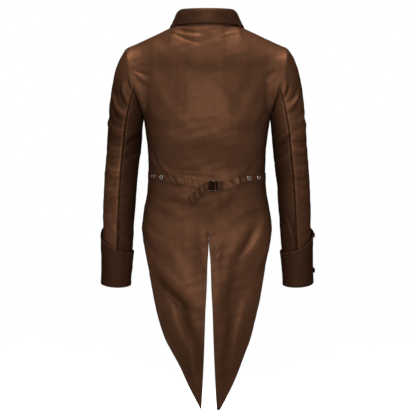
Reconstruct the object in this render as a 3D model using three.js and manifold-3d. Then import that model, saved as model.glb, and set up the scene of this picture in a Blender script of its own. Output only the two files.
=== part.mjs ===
// A man's belted tailcoat, worn and hollow: two backs that run down into pointed tails, two fronts
// cut off at the waist, two-piece sleeves with deep turned-back cuffs, a turned-down collar, and a
// half belt with a slide buckle and four eyelets across the back.
// Millimetres. +Z is up, -Y is the wearer's front, +X is the wearer's left.
// The origin lies between the shoulders, level with the side of the neck.
import * as THREE from "three";
import Module from "manifold-3d";

// Cloth and seams
const CLOTH = 2.0;
const STIFF_CLOTH = 2.4;
const STRAP_CLOTH = 1.6;
const SEAM_GAP = 0.3;

// Heights of the levels that the panels share
const CHEST_Z = -246;
const HIP_Z = -548;
const FRONT_HEM_Z = -476;
const VENT_TOP_Z = -576;
const TAIL_TIP_Z = -1028;

// Neck and shoulders
const NECK_HALF = 74;
const NECK_SIDE_Z = 11;
const BACK_NECK = { y: 60, z: 11 };
const FRONT_NECK = { y: 70, z: -72 };
const SHOULDER_POINT = new THREE.Vector3(217, 0, -56);
const SHOULDER_SAG = 1;

// Grid of the panels: columns across half a back, of which the first ones end at the neckline
const PANEL_COLUMNS = 14;
const NECK_COLUMNS = 6;
const NECK_SHARE = NECK_COLUMNS / PANEL_COLUMNS;
const YOKE_ROWS = 11;
const WAIST_ROWS = 10;
const TAIL_ROWS = 15;

// How far each front runs past the centre, and how far the left one lies proud of the right one
const FRONT_OVERLAP = 18;
const OVERLAP_RISE = 3.2;

// The body's outer outline at each level: half width, depth behind and before the shoulder line
const BODY = [
  { z: CHEST_Z, side: 171, back: 119, front: 126, square: 2.8 },
  { z: -290, side: 165, back: 114, front: 124, square: 2.6 },
  { z: -335, side: 159.5, back: 102, front: 116, square: 2.45 },
  { z: -388, side: 158, back: 90, front: 106, square: 2.35 },
  { z: -440, side: 161, back: 97, front: 107, square: 2.35 },
  { z: -495, side: 170, back: 111, front: 111, square: 2.4 },
  { z: HIP_Z, side: 176, back: 119, front: 114, square: 2.45 },
  { z: -640, side: 179, back: 121, front: 114, square: 2.4 },
  { z: -800, side: 184, back: 118, front: 114, square: 2.3 },
  { z: TAIL_TIP_Z, side: 192, back: 114, front: 114, square: 2.2 },
];

// Each tail, between its cut-away outer edge and the vent
const TAIL = [
  { z: HIP_Z, outer: 176, inner: 0 },
  { z: VENT_TOP_Z, outer: 171.5, inner: 0.2 },
  { z: -640, outer: 158.5, inner: 4 },
  { z: -705, outer: 147.5, inner: 6 },
  { z: -770, outer: 134, inner: 9.5 },
  { z: -834, outer: 116, inner: 11.5 },
  { z: -899, outer: 86.5, inner: 14 },
  { z: -964, outer: 58, inner: 17 },
  { z: -1000, outer: 40, inner: 18.8 },
  { z: TAIL_TIP_Z, outer: 25, inner: 20.5 },
];

// How far the tails' inner and outer edges hang towards the wearer's right
const SWAY = [
  { z: -510, inner: 0, outer: 0 },
  { z: VENT_TOP_Z, inner: 5, outer: 0 },
  { z: -640, inner: 5.7, outer: 0 },
  { z: -770, inner: 5.7, outer: 0 },
  { z: -834, inner: 5.7, outer: 2 },
  { z: -867, inner: 5.7, outer: 4.4 },
  { z: -932, inner: 5.7, outer: 9.4 },
  { z: TAIL_TIP_Z, inner: 5.7, outer: 9.8 },
];

// The sleeve's centre line and outer half sizes, from below the armhole to its hem
const SLEEVE_CAP_Z = -318;
const SLEEVE_HEM_Z = -690;
const SLEEVE = [
  { z: SLEEVE_CAP_Z, x: 224, y: 4, wide: 46.5, deep: 61 },
  { z: -400, x: 232, y: 6, wide: 45, deep: 57 },
  { z: -460, x: 236, y: 3, wide: 44, deep: 54.5 },
  { z: -530, x: 239.5, y: -7, wide: 42.5, deep: 52 },
  { z: -600, x: 243, y: -20, wide: 40, deep: 49.5 },
  { z: SLEEVE_HEM_Z, x: 247.5, y: -38, wide: 37.5, deep: 46.5 },
];
const SLEEVE_COLUMNS = 24;
const CAP_ROWS = 8;
const TUBE_ROWS = 11;
const BACK_SEAM_TURN = 105;
const FRONT_SEAM_TURN = 225;
const SEAM_DRIFT = 16;
const ARMHOLE_LOOP = 285;

// The cuff goes round once and laps over itself on the outside of the arm. The left one is turned
// forward, so that its buttons don't show from behind.
const CUFF_FORWARD = { left: 22, right: 0 };
const CUFF_LAP_START = -32;
const CUFF_LAP_END = 343;
const CUFF_COLUMNS = 25;
const CUFF_ROWS = 4;
const CUFF_EASE = 3.8;
const CUFF_LAP_RISE = 3.0;
const CUFF_DROP = 5;
const CUFF_TOP = [
  { turn: -54, height: 150 },
  { turn: -32, height: 142 },
  { turn: 0, height: 131 },
  { turn: 45, height: 113 },
  { turn: 90, height: 97 },
  { turn: 135, height: 90 },
  { turn: 180, height: 85 },
  { turn: 225, height: 87 },
  { turn: 270, height: 98 },
  { turn: 315, height: 117 },
  { turn: 343, height: 128 },
];

// The collar, by angle from the centre back: the stand's height and lean, and where on the body its
// fall's edge lies, as a share across the panel, millimetres below its top edge, and lift off it
const COLLAR = [
  { turn: 0, stand: 33, lean: 3, across: 0, down: 3, lift: 4.4 },
  { turn: 25, stand: 33, lean: 3, across: 0.13, down: 6, lift: 4.2 },
  { turn: 45, stand: 33, lean: 3, across: 0.25, down: 12, lift: 4 },
  { turn: 67, stand: 33, lean: 3, across: 0.44, down: 29, lift: 3.8 },
  { turn: 80, stand: 32, lean: 3, across: 0.485, down: 14, lift: 3.8 },
  { turn: 90, stand: 31, lean: 3, across: 0.505, down: 2, lift: 4 },
  { turn: 100, stand: 30, lean: 6, across: 0.5, down: 18, lift: 5.8 },
  { turn: 120, stand: 26, lean: 10, across: 0.46, down: 48, lift: 6 },
  { turn: 150, stand: 22, lean: 14, across: 0.32, down: 66, lift: 6 },
  { turn: 172, stand: 18, lean: 16, across: 0.17, down: 60, lift: 7.5 },
];
const COLLAR_END_TURN = 172;
const FALL_ROWS = 5;
const FOLD_ROOM = 2.5;
const FOLD_RISE = 6;

// The half belt. Each strap's stations run from its side seam to the buckle, round a bar and back
const STRAP_WIDTH = 22;
const STRAP_ACROSS = 2;
const STRAP_STEP = 9.5;
const BAR_LIFT = 5.0;
const BEND_RADIUS = 2.6;
const BUCKLE = { x: -17, z: -430, width: 22.4, height: 31, bar: 2.3, rail: 2.6, corner: 3.5 };
const LEFT_STRAP = [
  { x: 157, z: -401, lift: 2.6, tilt: 0 },
  { x: 142, z: -402.5, lift: 2.6, tilt: 0 },
  { x: 121, z: -406, lift: 2.8, tilt: 0 },
  { x: 98, z: -410, lift: 3.4, tilt: 0 },
  { x: 74, z: -414.5, lift: 4.6, tilt: 0 },
  { x: 48, z: -419.5, lift: 3.6, tilt: 0 },
  { x: 24, z: -424.5, lift: 2.9, tilt: 0 },
  { x: 4, z: -428.5, lift: 2.6, tilt: 0 },
  { x: -10, z: -430, lift: BAR_LIFT - BEND_RADIUS, tilt: 0 },
];
const LEFT_STRAP_END = [
  { x: -11, z: -430, lift: BAR_LIFT + BEND_RADIUS, tilt: 0 },
  { x: -4, z: -430.5, lift: BAR_LIFT + BEND_RADIUS, tilt: 4 },
  { x: 6, z: -435, lift: 8.0, tilt: 24 },
  { x: 18, z: -446, lift: 7.8, tilt: 44 },
  { x: 30, z: -459, lift: 6.0, tilt: 48 },
  { x: 42, z: -473, lift: 4.2, tilt: 48 },
];
const RIGHT_STRAP = [
  { x: 157, z: -405, lift: 2.6, tilt: 0 },
  { x: 139, z: -407, lift: 2.6, tilt: 0 },
  { x: 112.6, z: -409, lift: 2.8, tilt: 0 },
  { x: 93, z: -412, lift: 3.2, tilt: 0 },
  { x: 82, z: -416, lift: 5.4, tilt: -4 },
  { x: 70, z: -423.5, lift: 3.4, tilt: -4 },
  { x: 52, z: -428.5, lift: 2.8, tilt: 0 },
  { x: 36, z: -430, lift: BAR_LIFT - BEND_RADIUS, tilt: 0 },
];
const RIGHT_STRAP_END = [
  { x: 31, z: -430, lift: BAR_LIFT + BEND_RADIUS, tilt: 0 },
  { x: 37, z: -430, lift: 5.6, tilt: 0 },
  { x: 44, z: -429.6, lift: 4.8, tilt: 0 },
];

// Eyelets, by strap
const EYELET = { hole: 2.5, barrel: 3.0, flange: 6.0, clearance: 0.5 };
const EYELETS = [
  { name: "eyelet_left_outer", side: 1, x: 142.5, z: -402.4 },
  { name: "eyelet_left_inner", side: 1, x: 121, z: -406 },
  { name: "eyelet_right_inner", side: -1, x: 112.6, z: -409 },
  { name: "eyelet_right_outer", side: -1, x: 138, z: -407.1 },
];

// Buttons: a domed cap on a shank
const BUTTON = { radius: 7.6, dome: 3.0, rim: 2.2, shank: 2.2, shankHeight: 2.6 };
const CUFF_BUTTON_TURN = -23;
const CUFF_BUTTON_HEIGHTS = [25, 121];
const FRONT_BUTTON_HEIGHTS = [-112, -194, -276, -358, -440];

// The largest folds of the body, seen from behind: where each one's middle is, which way it runs,
// its half length and half width, and its height off the cloth, which is negative for a trough
const BODY_FOLDS = [
  { name: "blade hollow", x: 0, z: -98, angle: 0, long: 150, wide: 32, height: -3.5 },
  { name: "left tail trough", x: 100, z: -716, angle: -50, long: 75, wide: 24, height: -7 },
  { name: "left tail swell", x: 60, z: -640, angle: -62, long: 120, wide: 34, height: 4 },
  { name: "right tail ridge", x: -120, z: -585, angle: 52, long: 70, wide: 25, height: 6 },
  { name: "right tail trough", x: -96, z: -690, angle: 78, long: 90, wide: 26, height: -6 },
  { name: "hip hollow", x: -62, z: -470, angle: 52, long: 50, wide: 24, height: -5 },
  { name: "belt pull", x: 92, z: -468, angle: 6, long: 48, wide: 22, height: -4 },
  { name: "waist pucker", x: 112, z: -366, angle: -34, long: 44, wide: 21, height: 4 },
];

// The sleeves' folds, by angle round the arm and height
const SLEEVE_FOLDS = [
  { side: 1, turn: 60, z: -214, angle: -36, long: 56, wide: 25, height: -5 },
  { side: 1, turn: 58, z: -166, angle: -30, long: 52, wide: 24, height: 3.5 },
  { side: 1, turn: 66, z: -352, angle: -12, long: 50, wide: 22, height: 3 },
  { side: 1, turn: 120, z: -420, angle: 14, long: 46, wide: 22, height: -3.5 },
  { side: -1, turn: 60, z: -204, angle: -34, long: 50, wide: 25, height: 4 },
  { side: -1, turn: 128, z: -310, angle: 20, long: 44, wide: 21, height: -4 },
  { side: -1, turn: 60, z: -352, angle: -6, long: 50, wide: 22, height: 3.5 },
  { side: -1, turn: 132, z: -545, angle: 58, long: 50, wide: 20, height: 5 },
];

const wasm = await Module();
wasm.setup();

// Small maths

const radians = THREE.MathUtils.degToRad;
const lerp = THREE.MathUtils.lerp;
const vector = (x, y, z) => new THREE.Vector3(x, y, z);

function smooth(x, from, to) {
  const t = THREE.MathUtils.clamp((x - from) / (to - from), 0, 1);
  return t * t * (3 - 2 * t);
}

// A smooth curve through a table's rows that never overshoots them.
function tableCurve(rows, at, key) {
  const sorted = [...rows].sort((a, b) => a[at] - b[at]);
  const xs = sorted.map((row) => row[at]);
  const ys = sorted.map((row) => row[key]);
  const secants = ys.slice(1).map((y, i) => (y - ys[i]) / (xs[i + 1] - xs[i]));
  const slopes = ys.map((_, i) => {
    if (i === 0) return secants[0];
    if (i === ys.length - 1) return secants[i - 1];
    const [a, b] = [secants[i - 1], secants[i]];
    return a * b <= 0 ? 0 : (2 * a * b) / (a + b);
  });
  return (x) => {
    if (x <= xs[0]) return ys[0];
    if (x >= xs.at(-1)) return ys.at(-1);
    const i = xs.findIndex((limit) => limit > x) - 1;
    const step = xs[i + 1] - xs[i];
    return hermite((x - xs[i]) / step, ys[i], ys[i + 1], slopes[i] * step, slopes[i + 1] * step);
  };
}

function hermite(t, start, end, leaving, arriving) {
  const [t2, t3] = [t * t, t * t * t];
  return (
    (2 * t3 - 3 * t2 + 1) * start +
    (t3 - 2 * t2 + t) * leaving +
    (3 * t2 - 2 * t3) * end +
    (t3 - t2) * arriving
  );
}

function hermitePoint(t, start, end, leaving, arriving) {
  const mix = (axis) => hermite(t, start[axis], end[axis], leaving[axis], arriving[axis]);
  return vector(mix("x"), mix("y"), mix("z"));
}

// A soft ridge or trough: how high it stands at a place given by two distances from its middle.
function foldHeight(fold, dx, dz) {
  const angle = radians(fold.angle);
  const along = dx * Math.cos(angle) + dz * Math.sin(angle);
  const across = dz * Math.cos(angle) - dx * Math.sin(angle);
  return fold.height * Math.exp(-((along / fold.long) ** 2) - (across / fold.wide) ** 2);
}

// Body

const bodySide = tableCurve(BODY, "z", "side");
const bodyBack = tableCurve(BODY, "z", "back");
const bodyFront = tableCurve(BODY, "z", "front");
const bodySquare = tableCurve(BODY, "z", "square");
const tailOuter = tableCurve(TAIL, "z", "outer");
const tailInner = tableCurve(TAIL, "z", "inner");

// The outline at a height: angle 0 is the centre back, 90 the left side, 180 the centre front.
function ringPoint(turn, z) {
  const power = 2 / bodySquare(z);
  const [sine, cosine] = [Math.sin(radians(turn)), Math.cos(radians(turn))];
  const depth = cosine > 0 ? bodyBack(z) : bodyFront(z);
  return vector(
    Math.sign(sine) * bodySide(z) * Math.abs(sine) ** power,
    Math.sign(cosine) * depth * Math.abs(cosine) ** power,
    z,
  );
}

// The angle on the back half of the outline where it is this far from the middle.
function ringTurn(x, z) {
  const share = Math.min(1, Math.abs(x) / bodySide(z)) ** (bodySquare(z) / 2);
  return Math.sign(x) * THREE.MathUtils.radToDeg(Math.asin(share));
}

const BACK = { facing: 1, neck: BACK_NECK, lean: vector(0, -0.35, 0.94), bulge: 8 };
const FRONT = { facing: -1, neck: FRONT_NECK, lean: vector(0, 0.55, 0.84), bulge: -8 };

// The top edge of a back or front, from its centre to the side of the neck and on to the shoulder.
function topEdge(across, face) {
  if (across <= NECK_SHARE) {
    const turn = radians((90 * across) / NECK_SHARE);
    const drop = (face.neck.z - NECK_SIDE_Z) * Math.cos(turn) ** 2;
    return vector(
      NECK_HALF * Math.sin(turn),
      face.facing * face.neck.y * Math.cos(turn),
      NECK_SIDE_Z + drop,
    );
  }
  const along = (across - NECK_SHARE) / (1 - NECK_SHARE);
  const point = vector(NECK_HALF, 0, NECK_SIDE_Z).lerp(SHOULDER_POINT, along);
  point.z -= SHOULDER_SAG * Math.sin(Math.PI * along);
  return point;
}

// The same edge with the corner at the side of the neck rounded off, for the cloth below it.
function roundedTopEdge(across, face) {
  const reach = [-0.15, -0.075, 0, 0.075, 0.15];
  const weight = [0.15, 0.22, 0.26, 0.22, 0.15];
  const point = vector(0, 0, 0);
  reach.forEach((step, i) => {
    const at = across + step * smooth(across, 0, 0.15) * (1 - smooth(across, 0.8, 1));
    point.addScaledVector(topEdge(THREE.MathUtils.clamp(at, 0, 1), face), weight[i]);
  });
  return point;
}

// The direction in which the cloth crosses that edge.
function topDirection(across, face) {
  const acrossSeam = vector(0, -face.facing, 0);
  const seamAt = Math.max(across, NECK_SHARE + 0.002);
  const alongSeam = topEdge(seamAt, face).sub(topEdge(seamAt - 0.002, face)).normalize();
  const neckward = 0.55 * (1 - smooth(across, NECK_SHARE, 1));
  const overShoulder = acrossSeam.addScaledVector(alongSeam, -neckward).normalize();
  return face.lean.clone().lerp(overShoulder, smooth(across, 0, NECK_SHARE)).normalize();
}

// The part above the chest. Height 0 is the chest level and 1 the top edge; across 1 is the armhole.
function yokePoint(across, height, face) {
  const mirrored = across < 0 ? -1 : 1;
  const share = Math.abs(across);
  const turn = face.facing > 0 ? 90 * share : 180 - 90 * share;
  const start = ringPoint(turn, CHEST_Z);
  const edge = topEdge(share, face);
  const end = roundedTopEdge(share, face);
  const loop = smooth(share, 0.6, 1);
  const backward = ringPoint(turn - face.facing, CHEST_Z).sub(ringPoint(turn + face.facing, CHEST_Z));
  const leaving = backward
    .normalize()
    .multiplyScalar(ARMHOLE_LOOP * loop)
    .add(vector(0, 0, lerp(275, 34, loop)));
  const speed = lerp(lerp(235, 200, smooth(share, 0, NECK_SHARE)), ARMHOLE_LOOP, loop);
  const arriving = topDirection(share, face).multiplyScalar(speed);
  const point = hermitePoint(height, start, end, leaving, arriving);
  point.addScaledVector(edge.sub(end), smooth(height, 0.45, 1));
  point.x += face.bulge * loop * 16 * height ** 2 * (1 - height) ** 2;
  point.x *= mirrored;
  return point;
}

// A level runs from 1 at the top edge through 0 at the chest and -1 at the hip to -2 at the tail tip.
const backHeight = (level) =>
  level > -1 ? lerp(CHEST_Z, HIP_Z, -level) : lerp(HIP_Z, TAIL_TIP_Z, -level - 1);

function backBase(across, level) {
  if (level > 0) return yokePoint(across, level, BACK);
  const z = backHeight(level);
  const inner = ringTurn(tailInner(z), z);
  const outer = z > HIP_Z ? 90 : ringTurn(tailOuter(z), z);
  return ringPoint(lerp(inner, outer, across), z);
}

function frontBase(across, level) {
  if (level > 0) return yokePoint(across, level, FRONT);
  const hem = lerp(FRONT_HEM_Z, HIP_Z, Math.abs(across) ** 1.5);
  return ringPoint(180 - 90 * across, lerp(CHEST_Z, hem, -level));
}

function normalOf(surface, u, v, step = 0.004) {
  const du = surface(u + step, v).sub(surface(u - step, v));
  const dv = surface(u, v + step).sub(surface(u, v - step));
  return du.cross(dv).normalize();
}

const swayInner = tableCurve(SWAY, "z", "inner");
const swayOuter = tableCurve(SWAY, "z", "outer");

// Folds fade out at the armhole, the shoulder and the side seam, so that the seams still meet.
function backFoldHeight(point, across, level, side) {
  const edge = level > -1 ? 1 - smooth(across, 0.8, 1) : 1;
  const top = 1 - smooth(level, 0.75, 1);
  const total = BODY_FOLDS.reduce(
    (sum, fold) => sum + foldHeight(fold, side * point.x - fold.x, point.z - fold.z),
    0,
  );
  return total * edge * top;
}

function backPoint(across, level, side) {
  const point = backBase(across, level);
  const { z } = point;
  const height = backFoldHeight(point, across, level, side);
  const inside = THREE.MathUtils.clamp(across, 0.01, 0.99);
  if (Math.abs(height) >= 0.01) {
    point.addScaledVector(normalOf(backBase, inside, level).negate(), height);
  }
  if (level < 0) point.x -= side * lerp(swayInner(z), swayOuter(z), across);
  return point;
}

// A point of the back outline, by its distance from the middle and its height, moved out.
function onBack(x, z, lift) {
  const side = x < 0 ? -1 : 1;
  const across = ringTurn(Math.abs(x), z) / 90;
  const level = -(z - CHEST_Z) / (HIP_Z - CHEST_Z);
  const normal = normalOf(backBase, Math.min(across, 0.99), level).negate();
  const height = backFoldHeight(vector(Math.abs(x), 0, z), across, level, side);
  const point = backBase(across, level).addScaledVector(normal, lift + height);
  point.x *= side;
  normal.x *= side;
  return { point, normal };
}

// Sleeves

const sleeveX = tableCurve(SLEEVE, "z", "x");
const sleeveY = tableCurve(SLEEVE, "z", "y");
const sleeveWide = tableCurve(SLEEVE, "z", "wide");
const sleeveDeep = tableCurve(SLEEVE, "z", "deep");

// The armhole: turn 0 is the shoulder point, 90 the back edge, 180 the underarm, 270 the front edge.
function armholePoint(turn) {
  const round = THREE.MathUtils.euclideanModulo(turn, 360);
  return round <= 180
    ? yokePoint(1, 1 - round / 180, BACK)
    : yokePoint(1, round / 180 - 1, FRONT);
}

function sleeveAxis(z) {
  const step = 2;
  return vector(
    sleeveX(z - step) - sleeveX(z + step),
    sleeveY(z - step) - sleeveY(z + step),
    -2 * step,
  ).normalize();
}

// A point round the sleeve at a height of its centre line: turn 0 is outside, 90 behind.
function tubePoint(turn, z, grow = 0) {
  const axis = sleeveAxis(THREE.MathUtils.clamp(z, SLEEVE_HEM_Z + 4, SLEEVE_CAP_Z - 4));
  const outward = vector(-axis.z, 0, axis.x).normalize();
  const backward = outward.clone().cross(axis).normalize();
  const below = Math.min(0, z - SLEEVE_HEM_Z);
  return vector(sleeveX(z), sleeveY(z), Math.max(z, SLEEVE_HEM_Z))
    .addScaledVector(axis, -below)
    .addScaledVector(outward, (sleeveWide(z) + grow) * Math.cos(radians(turn)))
    .addScaledVector(backward, (sleeveDeep(z) + grow) * Math.sin(radians(turn)));
}

// The back seam drifts from the armhole to the middle of the sleeve's back.
function seamTurn(turn, share) {
  const away = THREE.MathUtils.euclideanModulo(turn - BACK_SEAM_TURN + 180, 360) - 180;
  return turn - SEAM_DRIFT * share * Math.exp(-((away / 60) ** 2));
}

// Down the sleeve: 0 is the armhole, 1 the end of the shaped head, 2 the hem.
function sleeveBase(turn, down) {
  if (down >= 1) {
    return tubePoint(seamTurn(turn, 1), lerp(SLEEVE_CAP_Z, SLEEVE_HEM_Z, down - 1));
  }
  const start = armholePoint(turn);
  const end = tubePoint(seamTurn(turn, 1), SLEEVE_CAP_Z);
  const reach = start.distanceTo(end);
  const outward = 0.1 + 0.31 * (1 + Math.cos(radians(turn)));
  const leaving = vector(outward, 0, -Math.sqrt(1 - outward ** 2)).multiplyScalar(reach * 0.7);
  const arriving = sleeveAxis(SLEEVE_CAP_Z).multiplyScalar(reach * 0.95);
  return hermitePoint(Math.max(down, 0), start, end, leaving, arriving);
}

const sleeveNormal = (turn, down) =>
  normalOf((u, v) => sleeveBase(u * 360, v), turn / 360, Math.max(down, 0.006)).negate();

function sleevePoint(turn, down, side) {
  const point = sleeveBase(turn, down);
  const fade = smooth(down, 0, 0.3);
  const girth = (sleeveWide(point.z) + sleeveDeep(point.z)) / 2;
  const height = SLEEVE_FOLDS.filter((fold) => fold.side === side).reduce((sum, fold) => {
    const away = THREE.MathUtils.euclideanModulo(turn - fold.turn + 180, 360) - 180;
    return sum + foldHeight(fold, -radians(away) * girth, point.z - fold.z);
  }, 0);
  return point.addScaledVector(sleeveNormal(turn, down), height * fade);
}

// Where the sleeve head falls away from the shoulder, both walls are mitred along one direction.
function armholeNormal(turn, own) {
  const round = THREE.MathUtils.euclideanModulo(turn, 360);
  const [face, height] = round <= 180 ? [BACK, 1 - round / 180] : [FRONT, round / 180 - 1];
  const inside = THREE.MathUtils.clamp(height, 0.02, 0.995);
  const body = normalOf((u, v) => yokePoint(u, v, face), 0.985, inside);
  if (face === BACK) body.negate();
  if (round === 0) body.setY(0).normalize();
  const sleeve = sleeveNormal(turn, 0);
  const leaving = sleeveBase(turn, 0.05).sub(sleeveBase(turn, 0));
  if (leaving.dot(body) < 0) return body.add(sleeve).normalize();
  return own === "sleeve" ? sleeve : body;
}

// Cloth walls

// A closed wall from a grid of outer points and the directions that they face. Its edges are drawn
// in by half a seam gap on the sides that meet another piece.
function wallGeometry(points, normals, thickness, inset = SEAM_GAP / 2) {
  const [rows, columns] = [points.length, points[0].length];
  const drawnIn = points.map((row) => row.map((point) => point.clone()));
  const pull = (row, column, towards) => {
    const step = points[towards[0]][towards[1]].clone().sub(points[row][column]);
    drawnIn[row][column].addScaledVector(step.normalize(), inset);
  };
  for (let row = 0; row < rows; row += 1) {
    pull(row, 0, [row, 1]);
    pull(row, columns - 1, [row, columns - 2]);
  }
  for (let column = 0; column < columns; column += 1) {
    pull(0, column, [1, column]);
    pull(rows - 1, column, [rows - 2, column]);
  }
  const positions = [];
  for (const depth of [0, thickness]) {
    drawnIn.forEach((row, i) =>
      row.forEach((point, j) => {
        positions.push(...point.clone().addScaledVector(normals[i][j], -depth).toArray());
      }),
    );
  }
  const inner = rows * columns;
  const index = [];
  const quad = (a, b, c, d) => index.push(a, b, c, a, c, d);
  const at = (row, column) => row * columns + column;
  for (let i = 0; i < rows - 1; i += 1) {
    for (let j = 0; j < columns - 1; j += 1) {
      quad(at(i, j), at(i + 1, j), at(i + 1, j + 1), at(i, j + 1));
      quad(inner + at(i, j), inner + at(i, j + 1), inner + at(i + 1, j + 1), inner + at(i + 1, j));
    }
  }
  const rim = [];
  for (let j = 0; j < columns - 1; j += 1) rim.push(at(0, j));
  for (let i = 0; i < rows - 1; i += 1) rim.push(at(i, columns - 1));
  for (let j = columns - 1; j > 0; j -= 1) rim.push(at(rows - 1, j));
  for (let i = rows - 1; i > 0; i -= 1) rim.push(at(i, 0));
  rim.forEach((a, k) => {
    const b = rim[(k + 1) % rim.length];
    quad(a, b, inner + b, inner + a);
  });
  const geometry = new THREE.BufferGeometry();
  geometry.setAttribute("position", new THREE.Float32BufferAttribute(positions, 3));
  geometry.setIndex(index);
  return geometry;
}

// The same wall on the wearer's right.
function mirrored(geometry) {
  const position = geometry.getAttribute("position");
  for (let i = 0; i < position.count; i += 1) position.setX(i, -position.getX(i));
  const index = geometry.getIndex();
  for (let i = 0; i < index.count; i += 3) {
    const second = index.getX(i + 1);
    index.setX(i + 1, index.getX(i + 2));
    index.setX(i + 2, second);
  }
  return geometry;
}

// Turns the wall inside out if its volume came out negative.
function facingOut(geometry) {
  const position = geometry.getAttribute("position");
  const index = geometry.getIndex();
  const corner = (k) => new THREE.Vector3().fromBufferAttribute(position, index.getX(k));
  let volume = 0;
  for (let i = 0; i < index.count; i += 3) {
    volume += corner(i).dot(corner(i + 1).cross(corner(i + 2)));
  }
  if (volume > 0) return geometry;
  for (let i = 0; i < index.count; i += 3) {
    const second = index.getX(i + 1);
    index.setX(i + 1, index.getX(i + 2));
    index.setX(i + 2, second);
  }
  return geometry;
}

const steps = (count, from = 0, to = 1) =>
  Array.from({ length: count + 1 }, (_, i) => lerp(from, to, i / count));

// Builds a wall from a surface, with normals that point away from the wearer.
function wallFrom(surface, us, vs, { thickness = CLOTH, outward = 1, side = 1, normalAt } = {}) {
  const points = vs.map((v) => us.map((u) => surface(u, v)));
  const within = (value, list) =>
    THREE.MathUtils.clamp(value, Math.min(...list) + 0.004, Math.max(...list) - 0.004);
  const normals = vs.map((v) =>
    us.map((u) => {
      const given = normalAt && normalAt(u, v);
      if (given) return given;
      return normalOf(surface, within(u, us), within(v, vs)).multiplyScalar(outward);
    }),
  );
  const geometry = wallGeometry(points, normals, thickness);
  return facingOut(side < 0 ? mirrored(geometry) : geometry);
}

// Materials

const material = (color, roughness, metalness = 0) =>
  new THREE.MeshStandardMaterial({ color, roughness, metalness });
const coatCloth = material("#5a3f31", 0.55);
const collarCloth = material("#513628", 0.6);
const darkMetal = material("#2b2624", 0.35, 0.9);
const nickel = material("#a9a29c", 0.3, 1);

const coat = new THREE.Group();

function addPiece(name, geometry, finish) {
  const mesh = new THREE.Mesh(geometry, finish);
  mesh.name = name;
  coat.add(mesh);
  return mesh;
}

const SIDES = [
  { side: 1, word: "left" },
  { side: -1, word: "right" },
];

// Both panels face the same way along a seam, so that their walls meet without crossing.
function seamNormal(normal, across, level) {
  if (across === 0) return normal.setX(0).normalize();
  if (level === 1 && across >= NECK_SHARE) return normal.setY(0).normalize();
  if (across === 1 && level >= -1) return normal.setY(0).normalize();
  return normal;
}

// Backs, with their tails

const backLevels = [
  ...steps(YOKE_ROWS, 1, 0).slice(0, -1),
  ...steps(WAIST_ROWS, 0, -1).slice(0, -1),
  ...steps(TAIL_ROWS, -1, -2),
];

function makeBack({ side, word }) {
  const geometry = wallFrom(
    (across, level) => backPoint(across, level, side),
    steps(PANEL_COLUMNS),
    backLevels,
    {
      side,
      normalAt: (across, level) => {
        if (across === 1 && level >= 0) return armholeNormal(180 * (1 - level), "body");
        const normal = normalOf(
          (u, v) => backPoint(u, v, side),
          THREE.MathUtils.clamp(across, 0.006, 0.99),
          THREE.MathUtils.clamp(level, -1.995, 0.994),
        ).negate();
        return seamNormal(normal, across, level);
      },
    },
  );
  addPiece(`back_${word}`, geometry, coatCloth);
}

// Fronts, the left one lapped over the right one

const frontLevels = [...steps(YOKE_ROWS, 1, 0).slice(0, -1), ...steps(WAIST_ROWS, 0, -1)];

// How far across, past the centre, the front edge lies at a level.
function frontEdge(level) {
  const z = level > 0 ? CHEST_Z : lerp(CHEST_Z, FRONT_HEM_Z, -level);
  const share = (FRONT_OVERLAP / bodySide(z)) ** (bodySquare(z) / 2);
  const below = THREE.MathUtils.radToDeg(Math.asin(share)) / 90;
  const atNeck =
    (NECK_SHARE * THREE.MathUtils.radToDeg(Math.asin(FRONT_OVERLAP / NECK_HALF))) / 90;
  return level > 0 ? lerp(below, atNeck, level) : below;
}

function frontSurface(side) {
  const base = (u, level) => frontBase(u < 0 ? u * frontEdge(level) * PANEL_COLUMNS : u, level);
  if (side < 0) return base;
  return (u, level) => {
    const x = u < 0 ? 0 : u * PANEL_COLUMNS;
    const rise = OVERLAP_RISE * (1 - smooth(x, 1, 3));
    const at = THREE.MathUtils.clamp(u, 0.02, 0.99);
    const normal = normalOf(frontBase, at, THREE.MathUtils.clamp(level, -0.99, 0.99));
    if (u < 0) normal.x = -Math.abs(normal.x);
    return base(u, level).addScaledVector(normal, rise);
  };
}

function makeFront({ side, word }) {
  const surface = frontSurface(side);
  const geometry = wallFrom(
    surface,
    [-1 / PANEL_COLUMNS, ...steps(PANEL_COLUMNS)],
    frontLevels,
    {
      side,
      normalAt: (across, level) => {
        if (across === 1 && level >= 0) return armholeNormal(180 * (1 + level), "body");
        const normal = normalOf(
          surface,
          THREE.MathUtils.clamp(across, 0.006 - 1 / PANEL_COLUMNS, 0.99),
          THREE.MathUtils.clamp(level, -0.995, 0.994),
        );
        return across < 0.01 ? normal : seamNormal(normal, across, level);
      },
    },
  );
  addPiece(`front_${word}`, geometry, coatCloth);
}

// Sleeves, each an upper and an under piece

function makeSleeve({ side, word }) {
  const downs = [...steps(CAP_ROWS).slice(0, -1), ...steps(TUBE_ROWS, 1, 2)];
  const pieces = [
    { name: `sleeve_under_${word}`, from: BACK_SEAM_TURN, to: FRONT_SEAM_TURN },
    { name: `sleeve_upper_${word}`, from: FRONT_SEAM_TURN - 360, to: BACK_SEAM_TURN },
  ];
  for (const { name, from, to } of pieces) {
    const count = ((to - from) * SLEEVE_COLUMNS) / 360;
    const geometry = wallFrom(
      (turn, down) => sleevePoint(turn, down, side),
      steps(count, from, to),
      downs,
      {
        side,
        normalAt: (turn, down) => {
          if (down === 0) return armholeNormal(turn, "sleeve");
          return normalOf(
            (u, v) => sleevePoint(u * 360, v, side),
            turn / 360,
            Math.min(down, 1.99),
          ).negate();
        },
      },
    );
    addPiece(name, geometry, coatCloth);
  }
}

// Cuffs

const cuffTop = tableCurve(CUFF_TOP, "turn", "height");

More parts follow.
